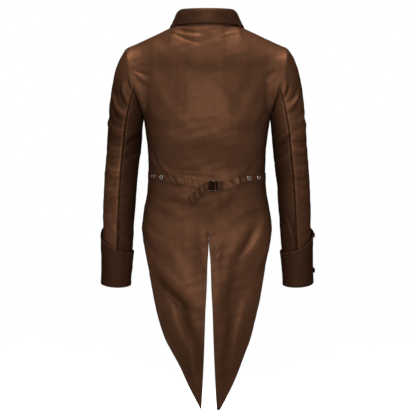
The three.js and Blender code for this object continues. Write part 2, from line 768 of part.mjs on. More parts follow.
// Up the cuff: 0 is its fold at the hem and 1 its top edge.
const cuffSurface = (word) => (turn, up) => {
  const height = lerp(-CUFF_DROP, cuffTop(turn), up);
  const pastLap = turn + CUFF_FORWARD[word];
  const lap = CUFF_LAP_RISE * (1 - smooth(pastLap, CUFF_LAP_END - 360, 18));
  return tubePoint(turn, SLEEVE_HEM_Z + height, CUFF_EASE + lap + 1.4 * smooth(up, 0.3, 1));
};

const cuffNormal = (word) => (turn, up) => {
  const surface = cuffSurface(word);
  const inside = THREE.MathUtils.clamp(up, 0.01, 0.99);
  return normalOf((u, v) => surface(u * 360, v), turn / 360, inside);
};

function makeCuff({ side, word }) {
  const forward = CUFF_FORWARD[word];
  const geometry = wallFrom(
    cuffSurface(word),
    steps(CUFF_COLUMNS, CUFF_LAP_START - forward, CUFF_LAP_END - forward),
    steps(CUFF_ROWS),
    { thickness: STIFF_CLOTH, side, normalAt: cuffNormal(word) },
  );
  addPiece(`cuff_${word}`, geometry, collarCloth);
}

// Collar

const collarValue = Object.fromEntries(
  ["stand", "lean", "across", "down", "lift"].map((key) => [key, tableCurve(COLLAR, "turn", key)]),
);

// The neckline, by angle from the centre back; negative on the wearer's right.
function necklinePoint(turn) {
  const around = Math.abs(turn);
  const point =
    around <= 90
      ? topEdge((NECK_SHARE * around) / 90, BACK)
      : topEdge((NECK_SHARE * (180 - around)) / 90, FRONT);
  point.x *= Math.sign(turn) || 1;
  return point;
}

const outOfNeck = (turn) => vector(Math.sin(radians(turn)), Math.cos(radians(turn)), 0);

// The stand: 0 is the neckline and 1 the fold.
function standPoint(turn, up) {
  const around = Math.abs(turn);
  const point = necklinePoint(turn);
  point.z += SEAM_GAP + up * collarValue.stand(around);
  return point.addScaledVector(outOfNeck(turn), -up * collarValue.lean(around));
}

// The fall's outer edge lies on the body, moved out.
function fallEdge(turn) {
  const around = Math.abs(turn);
  const face = around <= 90 ? BACK : FRONT;
  const across = collarValue.across(around);
  const height = 1 - collarValue.down(around) / 235;
  const at = [Math.max(across, 0.02), Math.min(height, 0.99)];
  const normal = normalOf((u, v) => yokePoint(u, v, face), ...at).multiplyScalar(-face.facing);
  const point = yokePoint(across, height, face);
  point.addScaledVector(normal, collarValue.lift(around));
  point.x *= Math.sign(turn) || 1;
  return point;
}

// The fall: 0 is the inside of the fold, over the stand, and 1 its edge.
function fallPoint(turn, down) {
  const fold = standPoint(turn, 1);
  fold.z += SEAM_GAP + STIFF_CLOTH + FOLD_ROOM;
  fold.addScaledVector(outOfNeck(turn), -STIFF_CLOTH);
  const edge = fallEdge(turn);
  const drop = fold.distanceTo(edge);
  const leaving = outOfNeck(turn).multiplyScalar(drop * 0.92).add(vector(0, 0, FOLD_RISE));
  const arriving = edge.clone().sub(fold).normalize().multiplyScalar(drop * 0.7);
  arriving.z -= drop * 0.35;
  return hermitePoint(down, fold, edge, leaving, arriving);
}

function makeCollar() {
  const standTurns = steps(4 * NECK_COLUMNS, -180, 180);
  const stand = wallFrom(standPoint, standTurns, steps(2), {
    thickness: STIFF_CLOTH,
    normalAt: (turn, up) =>
      normalOf((u, v) => standPoint(u * 360, v), turn / 360, up)
        .negate(),
  });
  addPiece("collar_stand", stand, collarCloth);
  const fallTurns = steps(4 * NECK_COLUMNS, -COLLAR_END_TURN, COLLAR_END_TURN);
  const fallDowns = [0, 0.12, ...steps(FALL_ROWS - 1, 0.28, 1)];
  const fall = wallFrom(fallPoint, fallTurns, fallDowns, {
    thickness: STIFF_CLOTH,
    normalAt: (turn, down) =>
      normalOf((u, v) => fallPoint(u * 360, v), turn / 360, THREE.MathUtils.clamp(down, 0.01, 0.99)),
  });
  addPiece("collar_fall", fall, collarCloth);
}

// Half belt

// Stations set evenly along the back, so that the strap bends with it.
function evenStations(table) {
  const keys = ["z", "lift", "tilt"];
  const curves = keys.map((key) => tableCurve(table, "x", key));
  const [start, end] = [table[0].x, table.at(-1).x];
  const row = (x) => ({ x, ...Object.fromEntries(keys.map((key, i) => [key, curves[i](x)])) });
  const fine = steps(200, start, end).map(row);
  const points = fine.map(({ x, z, lift }) => onBack(x, z, lift).point);
  const lengths = points.map(() => 0);
  for (let i = 1; i < points.length; i += 1) {
    lengths[i] = lengths[i - 1] + points[i].distanceTo(points[i - 1]);
  }
  const count = Math.ceil(lengths.at(-1) / STRAP_STEP);
  return steps(count, 0, lengths.at(-1)).map((length) => {
    const i = lengths.findIndex((each) => each >= length - 1e-6);
    return fine[Math.max(i, 0)];
  });
}

// The stations of a strap that bends round a bar: in to the bar, half round it, and back out.
function strapStations(towards, barX, end) {
  const bend = steps(4, -90, 90).map((angle) => ({
    x: barX - BEND_RADIUS * Math.cos(radians(angle)),
    z: BUCKLE.z,
    lift: BAR_LIFT + BEND_RADIUS * Math.sin(radians(angle)),
    tilt: 0,
  }));
  return [...evenStations(towards), ...bend, ...end];
}

const leftStations = strapStations(LEFT_STRAP, BUCKLE.x, LEFT_STRAP_END);
const rightStations = strapStations(
  RIGHT_STRAP,
  -BUCKLE.x + (BUCKLE.width - BUCKLE.bar) / 2,
  RIGHT_STRAP_END,
);

// A strap lies on the back, moved out. Its right-hand twin is laid out on the left and mirrored.
function strapPoint(stations, side, station, across) {
  const i = THREE.MathUtils.clamp(Math.floor(station), 0, stations.length - 2);
  const mix = (key) => lerp(stations[i][key], stations[i + 1][key], station - i);
  const tilt = radians(mix("tilt"));
  const x = mix("x") + across * Math.sin(tilt);
  const z = mix("z") + across * Math.cos(tilt);
  const { point } = onBack(side * x, z, mix("lift"));
  point.x *= side;
  return point;
}

function strapGeometry(stations, side) {
  const surface = (station, across) => strapPoint(stations, side, station, across);
  const us = steps(stations.length - 1, 0, stations.length - 1);
  const vs = steps(STRAP_ACROSS, STRAP_WIDTH / 2, -STRAP_WIDTH / 2);
  const last = stations.length - 1;
  return wallFrom(surface, us, vs, {
    thickness: STRAP_CLOTH,
    side,
    normalAt: (station, across) => {
      const before = surface(Math.max(station - 0.5, 0), across);
      const after = surface(Math.min(station + 0.5, last), across);
      const upward = surface(station, across + 1).sub(surface(station, across - 1));
      return after.sub(before).cross(upward).normalize();
    },
  });
}

// Solids that a cut needs
function solidOf(geometry) {
  return new wasm.Manifold(
    new wasm.Mesh({
      numProp: 3,
      vertProperties: new Float32Array(geometry.getAttribute("position").array),
      triVerts: new Uint32Array(geometry.getIndex().array),
    }),
  );
}

function geometryOf(solid) {
  const mesh = solid.getMesh();
  const geometry = new THREE.BufferGeometry();
  geometry.setAttribute("position", new THREE.BufferAttribute(mesh.vertProperties, 3));
  geometry.setIndex(new THREE.BufferAttribute(mesh.triVerts, 1));
  return geometry;
}

// A straight bar of any rounded section, along +Z from its middle.
function prism(outline, length) {
  const sides = outline.length;
  const ring = (z) => outline.map(([x, y]) => [x, y, z]);
  const ends = [
    [0, 0, -length / 2],
    [0, 0, length / 2],
  ];
  const middle = outline.reduce(([x, y], point) => [x + point[0] / sides, y + point[1] / sides], [0, 0]);
  ends.forEach((end) => end.splice(0, 2, ...middle));
  const positions = [...ring(-length / 2), ...ring(length / 2), ...ends];
  const index = [];
  for (let i = 0; i < sides; i += 1) {
    const next = (i + 1) % sides;
    index.push(i, next, sides + next, i, sides + next, sides + i);
    index.push(2 * sides, next, i, 2 * sides + 1, sides + i, sides + next);
  }
  const geometry = new THREE.BufferGeometry();
  geometry.setAttribute("position", new THREE.Float32BufferAttribute(positions.flat(), 3));
  geometry.setIndex(index);
  return geometry;
}

const arc = (x, y, radius, from, to, count) =>
  steps(count, from, to).map((angle) => [
    x + radius * Math.cos(radians(angle)),
    y + radius * Math.sin(radians(angle)),
  ]);

const turnedTo = (direction) =>
  new THREE.Quaternion().setFromUnitVectors(vector(0, 0, 1), direction.clone().normalize());

function makeBelt() {
  const straps = [
    { name: "belt_left", side: 1, stations: leftStations },
    { name: "belt_right", side: -1, stations: rightStations },
  ];
  for (const { name, side, stations } of straps) {
    let strap = solidOf(strapGeometry(stations, side));
    for (const eyelet of EYELETS.filter((each) => each.side === side)) {
      const { point, normal } = onBack(side * eyelet.x, eyelet.z, 0);
      const punch = prism(arc(0, 0, EYELET.barrel + EYELET.clearance, 0, 330, 11), 14);
      punch.applyQuaternion(turnedTo(normal)).translate(...point.toArray());
      strap = strap.subtract(solidOf(punch));
    }
    addPiece(name, geometryOf(strap), collarCloth);
  }
}

// An eyelet: a rolled flange on the strap and a barrel down through it.
function makeEyelet({ name, side, x, z }) {
  const profile = [
    [EYELET.hole, -1.9],
    [EYELET.barrel, -1.9],
    [EYELET.barrel, 0],
    [EYELET.flange, 0],
    [EYELET.flange - 0.5, 0.9],
    [EYELET.flange - 1.8, 1.4],
    [EYELET.hole + 0.4, 1.0],
    [EYELET.hole, -1.9],
  ].map(([radius, height]) => new THREE.Vector2(radius, height));
  const geometry = new THREE.LatheGeometry(profile, 12).rotateX(Math.PI / 2);
  const stations = side > 0 ? LEFT_STRAP : RIGHT_STRAP;
  const strapLift = tableCurve(stations, "x", "lift")(x);
  const { point, normal } = onBack(side * x, z, strapLift + SEAM_GAP + 0.4);
  const mesh = addPiece(name, geometry, nickel);
  mesh.quaternion.copy(turnedTo(normal));
  mesh.position.copy(point);
}

// A slide buckle: a rounded frame with a bar across its middle.
function makeBuckle() {
  const { width, height, bar, rail, corner } = BUCKLE;
  const [halfWide, halfHigh] = [width / 2, height / 2];
  const [inWide, inHigh] = [halfWide - corner, halfHigh - corner];
  const outline = [
    ...arc(inWide, -inHigh, corner, -90, 0, 3),
    ...arc(inWide, inHigh, corner, 0, 90, 3),
    ...arc(-inWide, inHigh, corner, 90, 180, 3),
    ...arc(-inWide, -inHigh, corner, 180, 270, 3),
  ];
  let frame = solidOf(prism(outline, bar));
  for (const side of [-1, 1]) {
    const [near, far] = [side * (bar / 2), side * (halfWide - bar)];
    const high = halfHigh - rail;
    const [left, right] = [Math.min(near, far), Math.max(near, far)];
    const hole = [
      [left, -high],
      [right, -high],
      [right, high],
      [left, high],
    ];
    frame = frame.subtract(solidOf(prism(hole, bar + 2)));
  }
  const geometry = geometryOf(frame);
  const { point, normal } = onBack(BUCKLE.x, BUCKLE.z, BAR_LIFT);
  const across = vector(1, 0, 0).addScaledVector(normal, -normal.x).normalize();
  const upward = normal.clone().cross(across);
  const mesh = addPiece("buckle", geometry, darkMetal);
  mesh.quaternion.setFromRotationMatrix(new THREE.Matrix4().makeBasis(across, upward, normal));
  mesh.position.copy(point);
}

// Buttons

function buttonGeometry() {
  const { radius, dome, rim, shank, shankHeight } = BUTTON;
  const profile = [
    [0, 0],
    [shank, 0],
    [shank, shankHeight],
    [radius - 0.5, shankHeight],
    [radius, shankHeight + rim / 2],
    [radius * 0.6, shankHeight + dome],
    [0, shankHeight + dome + 0.4],
  ].map(([r, h]) => new THREE.Vector2(r, h));
  return new THREE.LatheGeometry(profile, 12).rotateX(Math.PI / 2);
}

function makeButton(name, point, normal) {
  const mesh = addPiece(name, buttonGeometry(), darkMetal);
  mesh.quaternion.copy(turnedTo(normal));
  mesh.position.copy(point).addScaledVector(normal, SEAM_GAP + 0.15);
}

function makeCuffButtons({ side, word }) {
  const turn = CUFF_BUTTON_TURN - CUFF_FORWARD[word];
  CUFF_BUTTON_HEIGHTS.forEach((height, i) => {
    const up = (height + CUFF_DROP) / (cuffTop(turn) + CUFF_DROP);
    const point = cuffSurface(word)(turn, up);
    const normal = cuffNormal(word)(turn, up);
    for (const each of [point, normal]) each.x *= side;
    makeButton(`cuff_button_${word}_${i + 1}`, point, normal);
  });
}

function makeFrontButtons() {
  const surface = frontSurface(1);
  FRONT_BUTTON_HEIGHTS.forEach((z, i) => {
    const levels = steps(400, 1, -1);
    const level = levels.find((each) => surface(0, each).z < z);
    const point = surface(0, level);
    const uphill = surface(0, level + 0.01).sub(surface(0, level - 0.01));
    const normal = vector(1, 0, 0).cross(uphill).normalize();
    makeButton(`front_button_${i + 1}`, point, normal);
  });
}

for (const each of SIDES) {
  makeBack(each);
  makeFront(each);
  makeSleeve(each);
  makeCuff(each);
  makeCuffButtons(each);
}
makeCollar();
makeBelt();
EYELETS.forEach(makeEyelet);
makeBuckle();
makeFrontButtons();

export default coat;
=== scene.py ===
"""Cloth, trim and stage of a worn tailcoat, laid out as a Blender add-on.

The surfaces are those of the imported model, in millimetres: +Z up, -Y the wearer's front, +X the
wearer's left. Each cloth piece is a thin closed shell on its panel, with its creases laid in.
"""

import math

import bmesh
import bpy
import numpy as np
from bpy.props import FloatProperty, FloatVectorProperty, PointerProperty
from mathutils import Matrix, Vector


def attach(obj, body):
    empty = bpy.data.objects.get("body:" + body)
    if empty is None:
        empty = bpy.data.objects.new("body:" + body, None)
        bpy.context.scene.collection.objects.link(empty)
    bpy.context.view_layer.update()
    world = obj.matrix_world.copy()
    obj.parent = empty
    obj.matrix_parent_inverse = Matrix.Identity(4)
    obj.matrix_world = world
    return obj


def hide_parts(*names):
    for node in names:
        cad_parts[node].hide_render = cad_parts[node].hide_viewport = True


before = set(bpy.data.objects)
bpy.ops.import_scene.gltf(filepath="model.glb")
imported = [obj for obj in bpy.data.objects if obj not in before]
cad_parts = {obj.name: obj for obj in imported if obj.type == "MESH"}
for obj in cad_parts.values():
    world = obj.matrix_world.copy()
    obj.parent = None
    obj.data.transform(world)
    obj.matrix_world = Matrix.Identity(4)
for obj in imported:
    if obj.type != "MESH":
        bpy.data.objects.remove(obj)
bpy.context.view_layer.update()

bl_info = {
    "name": "Belted Tailcoat",
    "version": (1, 0, 0),
    "blender": (4, 5, 0),
    "location": "View3D > Sidebar > Tailcoat",
    "description": "Builds a worn tailcoat with a half belt, turned-back cuffs and its metal trim",
    "category": "Add Mesh",
}


# Tables

def columns(names, rows):
    """A table as one array for each named column."""
    return dict(zip(names.split(), np.array(rows, float).T))


# Body, seams and overlaps, as heights and widths in millimetres.
CHEST_Z = -246.0
HIP_Z = -548.0
FRONT_HEM_Z = -476.0
TAIL_TIP_Z = -1028.0
NECK_HALF = 74.0
NECK_SIDE_Z = 11.0
SHOULDER = (217.0, 0.0, -56.0)
SHOULDER_SAG = 1.0
NECK_SHARE = 6 / 14
YOKE_LENGTH = 235.0
FRONT_OVERLAP = 18.0
OVERLAP_RISE = 3.2
LAP_COLUMNS = 14
ARMHOLE_LOOP = 285.0

# Sleeves and cuffs. Turns are in degrees: 0 is outside the arm and 90 behind it.
SLEEVE_CAP_Z = -318.0
SLEEVE_HEM_Z = -690.0
BACK_SEAM_TURN = 105.0
FRONT_SEAM_TURN = 225.0
SEAM_DRIFT = 16.0
CUFF_FORWARD = {"left": 22.0, "right": 0.0}
CUFF_LAP_START = -32.0
CUFF_LAP_END = 343.0
CUFF_EASE = 3.8
CUFF_LAP_RISE = 3.0
CUFF_DROP = 5.0

# Collar, whose turns are 0 at the centre back.
COLLAR_END_TURN = 172.0
FOLD_ROOM = 2.5
SEAM_GAP = 0.3
STIFF_CLOTH = 2.4

# Half belt and buckle.
STRAP_WIDTH = 22.0
BAR_LIFT = 5.0
BEND_RADIUS = 2.6
BUCKLE = {"x": -17.0, "z": -430.0, "width": 22.4, "height": 31.0, "bar": 2.3, "corner": 3.5}
BUCKLE_ROD = 1.7
BUCKLE_BAR_ROD = 1.15

# Widths of the turned hems, from each free edge to the end of its fold.
PLAIN_HEM = 11.0
TAIL_HEM = 9.0
FRONT_EDGE_HEM = 7.0
CUFF_TOP_HEM = 8.0
CUFF_HEM = 7.0
COLLAR_HEM = 7.0
COLLAR_END_HEM = 6.0

# Shells of cloth: those of stiffened cloth and of the straps keep a thickness of their own.
STIFF_SHELL = 1.8
STRAP_SHELL = 1.3
SEAM_INSET = 0.04
RELAX_ROUNDS = 260
ALL_EDGES = ("top", "bottom", "first", "last")
SIDES = ((1, "left"), (-1, "right"))
RIDES_ON = "root"

# Shade painted on the cloth, where 1 is the plain dye.
WRONG_SIDE_SHADE = 0.85
UNDER_SHADE = 0.46
STRAP_SHADE = 1.6
LOOSE_END_SHADE = 0.58
BUCKLE_SHADOW = 0.8

# Finish of the cloth, metal and paper.
SATIN_GLOSS = 0.5
CLOTH_ROUGH = 0.46
WEAVE_CONTRAST = 0.1
SATIN_EDGE_TINT = (0.12, 0.06, 0.035, 1)
METAL_EDGE_TINT = (0.05, 0.05, 0.05, 1)
DARK_METAL_WORN = (0.2, 0.18, 0.16)
# The eyelets' worn edges, paled further as a painted glint.
EYELET_WEAR_AND_GLINT = (0.7, 0.65, 0.6)
PAPER = (0.985, 0.985, 0.985)

# The stage, in metres. Each light has its name, place, target, size, power and spread in degrees.
FLOOR_Z = -1.09
FLOOR_HALF = 20
PHOTO_PIXELS = 416
METRES_PER_PIXEL = 0.0027
VIEW_DISTANCE = 7.0
VIEW_CENTRE = (-0.003, 0.03, -0.4887)
SENSOR = 36.0
LIGHTS = (
    ("Key", (0.05, 2.4, 0.0), (0, 0, -0.22), 1.2, 12, 60),
    ("Top", (0.0, 0.3, 1.6), (0, 0, 0), 1.0, 20, 60),
    ("Front", (-0.6, -2.4, 1.2), (0, 0, -0.3), 1.4, 4, 60),
)

# The yoke behind and before: the way it faces, its neckline's depth and height, the way its top
# edge leans, and how far it bulges at the armhole.
BACK = {
    "facing": 1,
    "neck_y": 60.0,
    "neck_z": 11.0,
    "lean": np.array([0, -0.35, 0.94]),
    "bulge": 8.0,
}
FRONT = {
    "facing": -1,
    "neck_y": 70.0,
    "neck_z": -72.0,
    "lean": np.array([0, 0.55, 0.84]),
    "bulge": -8.0,
}

# The body's half width, its depth behind and before, and how square its outline is.
BODY = columns(
    "z side back front square",
    [
        (CHEST_Z, 171, 119, 126, 2.8),
        (-290, 165, 114, 124, 2.6),
        (-335, 159.5, 102, 116, 2.45),
        (-388, 158, 90, 106, 2.35),
        (-440, 161, 97, 107, 2.35),
        (-495, 170, 111, 111, 2.4),
        (HIP_Z, 176, 119, 114, 2.45),
        (-640, 179, 121, 114, 2.4),
        (-800, 184, 118, 114, 2.3),
        (TAIL_TIP_Z, 192, 114, 114, 2.2),
    ],
)
# How far each tail's outer edge and vent edge lie from the centre.
TAIL = columns(
    "z outer inner",
    [
        (HIP_Z, 176, 0),
        (-576, 171.5, 0),
        (-640, 158.5, 4),
        (-705, 147.5, 6),
        (-770, 134, 9.5),
        (-834, 116, 11.5),
        (-899, 86.5, 14),
        (-964, 58, 17),
        (-1000, 40, 18.8),
        (TAIL_TIP_Z, 25, 20.5),
    ],
)
# How far the tails hang aside towards -X, at their vent edge and at their outer edge.
SWAY = columns(
    "z inner outer",
    [
        (-510, 0, 0),
        (-576, 5, 0),
        (-640, 5.7, 0),
        (-770, 5.7, 0),
        (-834, 5.7, 2),
        (-867, 5.7, 4.4),
        (-932, 5.7, 9.4),
        (TAIL_TIP_Z, 5.7, 9.8),
    ],
)
# The middle of a sleeve, laid out on the left, and its half width and half depth.
SLEEVE = columns(
    "z x y wide deep",
    [
        (SLEEVE_CAP_Z, 224, 4, 46.5, 61),
        (-400, 232, 6, 45, 57),
        (-460, 236, 3, 44, 54.5),
        (-530, 239.5, -7, 42.5, 52),
        (-600, 243, -20, 40, 49.5),
        (SLEEVE_HEM_Z, 247.5, -38, 37.5, 46.5),
    ],
)
# Height of a cuff's top edge above the sleeve's hem, round the arm.
CUFF_TOP = columns(
    "turn height",
    [
        (-54, 150),
        (-32, 142),
        (0, 131),
        (45, 113),
        (90, 97),
        (135, 90),
        (180, 85),
        (225, 87),
        (270, 98),
        (315, 117),
        (343, 128),
    ],
)
# Round the neck: the stand's height and lean, and where the fall's edge lies across the yoke, down
# from the yoke's top edge and off the cloth.
COLLAR = columns(
    "turn stand lean across down lift",
    [
        (0, 33, 3, 0, 3, 4.4),
        (25, 33, 3, 0.13, 6, 4.2),
        (45, 33, 3, 0.25, 12, 4),
        (67, 33, 3, 0.44, 29, 3.8),
        (80, 32, 3, 0.485, 14, 3.8),
        (90, 31, 3, 0.505, 2, 4),
        (100, 30, 6, 0.5, 18, 5.8),
        (120, 26, 10, 0.46, 48, 6),
        (150, 22, 14, 0.32, 66, 6),
        (172, 18, 16, 0.17, 60, 7.5),
    ],
)
# Each strap's middle line, up to the buckle and then its end that is turned back over a bar: its
# place, its height off the cloth and its tilt in degrees. X is measured out to the strap's side.
LEFT_STRAP = columns(
    "x z lift tilt",
    [
        (157, -401, 2.6, 0),
        (142, -402.5, 2.6, 0),
        (121, -406, 2.8, 0),
        (98, -410, 3.4, 0),
        (74, -414.5, 4.6, 0),
        (48, -419.5, 3.6, 0),
        (24, -424.5, 2.9, 0),
        (4, -428.5, 2.6, 0),
        (-10, -430, BAR_LIFT - BEND_RADIUS, 0),
    ],
)
LEFT_STRAP_END = columns(
    "x z lift tilt",
    [
        (-11, -430, BAR_LIFT + BEND_RADIUS, 0),
        (-4, -430.5, BAR_LIFT + BEND_RADIUS, 4),
        (6, -435, 8.0, 24),
        (18, -446, 7.8, 44),
        (30, -459, 6.0, 48),
        (42, -473, 4.2, 48),
    ],
)
RIGHT_STRAP = columns(
    "x z lift tilt",
    [
        (157, -405, 2.6, 0),
        (139, -407, 2.6, 0),
        (112.6, -409, 2.8, 0),
        (93, -412, 3.2, 0),
        (82, -416, 5.4, -4),
        (70, -423.5, 3.4, -4),
        (52, -428.5, 2.8, 0),
        (36, -430, BAR_LIFT - BEND_RADIUS, 0),
    ],
)
RIGHT_STRAP_END = columns(
    "x z lift tilt",
    [
        (31, -430, BAR_LIFT + BEND_RADIUS, 0),
        (37, -430, 5.6, 0),
        (44, -429.6, 4.8, 0),
    ],
)
# Each eyelet's node, side, place and height off the cloth.
EYELETS = [
    ("eyelet_left_outer", 1, 142.5, -402.4, 2.6),
    ("eyelet_left_inner", 1, 121.0, -406.0, 2.8),
    ("eyelet_right_inner", -1, 112.6, -409.0, 2.8),
    ("eyelet_right_outer", -1, 138.0, -407.1, 2.6),
]
EYELET_HOLE = 3.4
CUFF_BUTTON_TURN = -23.0
CUFF_BUTTON_HEIGHTS = (25.0, 121.0)
CUFF_BUTTON_LIFT = 1.4
FRONT_BUTTON_HEIGHTS = (-112.0, -194.0, -276.0, -358.0, -440.0)
FRONT_BUTTON_LIFT = 0.8

# Creases. Each row gives a crease's middle, the way it runs in degrees from +X towards +Z, its half
# length and half width, its height off the cloth, and how far it bows along its length.
CREASE = "x z angle long wide height bow"
BACK_CREASES = columns(
    CREASE,
    [
        (0, -110, 0, 150, 26, -3, 0),
        (100, -716, 51, 60, 15, -7, 8),
        (66, -670, 58, 90, 26, 4, 0),
        (122, -652, 55, 60, 15, 3, 5),
        (-127, -578, -59, 50, 11, 6, 6),
        (-104, -590, -62, 55, 14, -4, 6),
        (-58, -722, -78, 80, 22, -5, 0),
        (-62, -470, -40, 44, 14, -3, 4),
        (88, -468, 8, 46, 12, -3, 4),
        (62, -10, 13, 34, 3.5, -2.4, 2),
        (58, -21, 15, 38, 4, 2.4, 2),
        (52, -36, 20, 34, 4, -1.8, 2),
        (-70, -16, -14, 30, 4.5, 1.6, -2),
        (181, -124, 22, 20, 5, -2.4, 3),
        (178, -136, 26, 22, 6, 2.2, 3),
        (176, -152, 32, 22, 6, -1.8, 3),
        (-183, -118, -24, 18, 6, -2.0, -3),
        (-178, -140, -30, 22, 7, 1.8, -3),
        (168, -218, 62, 34, 8, 2.4, 4),
        (158, -232, 60, 36, 8, -2.4, 4),
        (-166, -222, -62, 34, 9, 2.2, -4),
        (-154, -240, -58, 38, 9, -2.2, -4),
        (140, -366, 52, 26, 5, 2.6, 4),
        (128, -378, 54, 26, 5, -2.4, 4),
        (112, -384, 44, 26, 6, 2.0, 3),
        (-138, -372, -40, 28, 7, 2.0, -3),
        (-118, -384, -34, 26, 7, -1.8, -3),
        (60, -402, 10, 44, 6, 1.8, 3),
        (30, -392, 4, 60, 10, -1.8, 0),
        (-70, -398, -12, 50, 9, 1.8, -3),
        (6, -566, 78, 12, 4, 2.8, 2),
        (10, -582, 70, 12, 4, 2.4, 2),
        (-18, -604, -66, 14, 4, 2.6, -2),
        (-24, -620, -72, 14, 5, 2.0, -2),
        (34, -600, 84, 60, 12, -2.2, 5),
        (-36, -640, -84, 60, 12, -2.2, -5),
        (58, -800, 76, 90, 15, -3.2, 6),
        (88, -790, 70, 80, 14, 2.8, 6),
        (-84, -800, -74, 90, 15, 3.0, -6),
        (-50, -860, -80, 90, 12, -2.6, -6),
        (44, -900, 82, 70, 10, 2.4, 4),
        (150, -560, 40, 30, 8, 2.2, 3),
        (148, -600, 56, 30, 8, -2.0, 3),
        (-152, -640, -64, 36, 8, -2.2, -3),
        (120, -500, 30, 44, 11, -2.2, 4),
        (-112, -508, -28, 44, 11, -2.0, -4),
        (90, -300, 14, 60, 16, 1.6, 4),
        (-84, -310, -12, 60, 16, 1.6, -4),
        (0, -330, 0, 90, 16, -1.4, 0),
        (120, -180, 64, 60, 16, 1.8, 6),
        (-120, -186, -62, 60, 16, 1.8, -6),
    ],
)
# Broad painted highlights and painted shade on the back, for the satin's sheen and shadow: middle,
# half width, half height, amount.
BACK_PAINTED_LIGHT = columns(
    "x z wide high amount",
    [
        (0, -96, 150, 22, -0.12),
        (0, -496, 66, 52, -0.4),
        (112, -535, 52, 56, 0.4),
        (-118, -560, 48, 56, 0.6),
        (-70, -700, 60, 90, 0.15),
        (56, -930, 60, 80, -0.14),
    ],
)
FRONT_CREASES = columns(
    CREASE,
    [
        (150, -170, 60, 60, 12, -3.0, 6),
        (136, -190, 62, 60, 12, 2.6, 6),
        (-150, -168, -58, 60, 12, -3.0, -6),
        (-134, -194, -62, 60, 12, 2.4, -6),
        (60, -236, 22, 60, 12, 2.2, 6),
        (-58, -240, -20, 60, 12, 2.0, -6),
        (40, -312, 12, 56, 10, -2.2, 4),
        (-46, -318, -14, 56, 10, -2.2, -4),
        (84, -352, 24, 60, 10, 2.4, 5),
        (-90, -346, -22, 60, 10, 2.4, -5),
        (50, -392, 6, 70, 9, -2.6, 4),
        (-60, -398, -8, 70, 9, -2.4, -4),
        (120, -412, -16, 44, 9, 2.2, 4),
        (-124, -416, 14, 44, 9, 2.2, -4),
        (96, -456, -10, 50, 10, -2.2, 4),
        (-88, -450, 12, 50, 10, -2.0, -4),
        (100, -60, -40, 60, 12, 2.2, 4),
        (-102, -62, 40, 60, 12, 2.2, -4),
    ],
)
# Creases of the sleeves, which lie round the arm at a turn.
SLEEVE_CREASES = columns(
    "side turn z angle long wide height bow",
    [
        (1, 58, -232, 42, 29, 5.6, -6.3, 4),
        (1, 62, -214, 44, 29, 5.6, 4.3, 4),
        (1, 76, -196, 52, 27, 5.0, -4.5, 4),
        (1, 80, -176, 56, 26, 5.0, 3.5, 4),
        (1, 88, -158, 58, 22, 4.3, -3.3, 3),
        (1, 40, -190, 34, 29, 6.2, 2.8, 4),
        (1, 70, -278, 14, 34, 6.8, 2.5, 5),
        (1, 74, -300, 12, 34, 5.6, -2.3, 5),
        (1, 70, -330, 8, 36, 6.2, 2.3, 5),
        (1, 66, -354, 4, 34, 5.6, -2.2, 4),
        (1, 72, -386, 10, 36, 6.2, 2.5, 5),
        (1, 78, -410, 8, 34, 5.0, -2.2, 4),
        (1, 70, -440, 2, 34, 6.2, 2.2, 4),
        (1, 74, -466, 0, 34, 5.6, -1.8, 4),
        (1, 60, -510, -6, 37, 7.4, 1.6, 4),
        (1, 110, -560, 40, 34, 6.2, 2.0, 4),
        (1, 140, -300, -34, 37, 7.4, -2.7, -5),
        (1, 150, -350, -30, 37, 7.4, 2.2, -5),
        (1, 10, -260, 20, 37, 8.7, 2.8, 4),
        (1, 300, -400, -16, 37, 6.8, 2.5, -5),
        (1, 296, -424, -14, 37, 5.6, -2.7, -5),
        (1, 290, -452, -8, 37, 6.2, 2.3, -5),
        (1, 280, -300, 30, 37, 7.4, -2.3, 5),
        (1, 270, -230, 42, 37, 6.8, 3.3, 4),
        (-1, 60, -196, 40, 27, 5.6, 5.0, 4),
        (-1, 66, -214, 44, 29, 5.0, -4.5, 4),
        (-1, 82, -172, 60, 26, 5.0, -3.3, 3),
        (-1, 44, -250, 24, 29, 6.2, 3.0, 4),
        (-1, 62, -286, 10, 34, 6.8, 2.3, 5),
        (-1, 66, -310, 4, 34, 5.6, -2.5, 5),
        (-1, 60, -332, 0, 34, 5.0, 2.5, 3),
        (-1, 58, -346, -2, 29, 4.3, -2.2, 3),
        (-1, 64, -384, 6, 36, 6.8, 2.2, 5),
        (-1, 70, -410, 4, 34, 5.6, -2.0, 4),
        (-1, 62, -446, -4, 34, 6.2, 2.2, 4),
        (-1, 130, -536, -70, 26, 5.0, 3.8, -3),
        (-1, 122, -546, -66, 29, 5.0, -2.7, -3),
        (-1, 128, -310, 26, 34, 6.8, -2.9, 4),
        (-1, 138, -360, 30, 37, 7.4, 2.3, 4),
        (-1, 10, -262, 18, 37, 8.7, 2.0, 4),
        (-1, 300, -404, -12, 37, 6.8, 2.5, -5),
        (-1, 296, -430, -12, 37, 5.6, -2.5, -5),
        (-1, 284, -300, 32, 37, 7.4, -2.3, 5),
        (-1, 270, -226, 40, 37, 6.8, 3.3, 4),
    ],
)

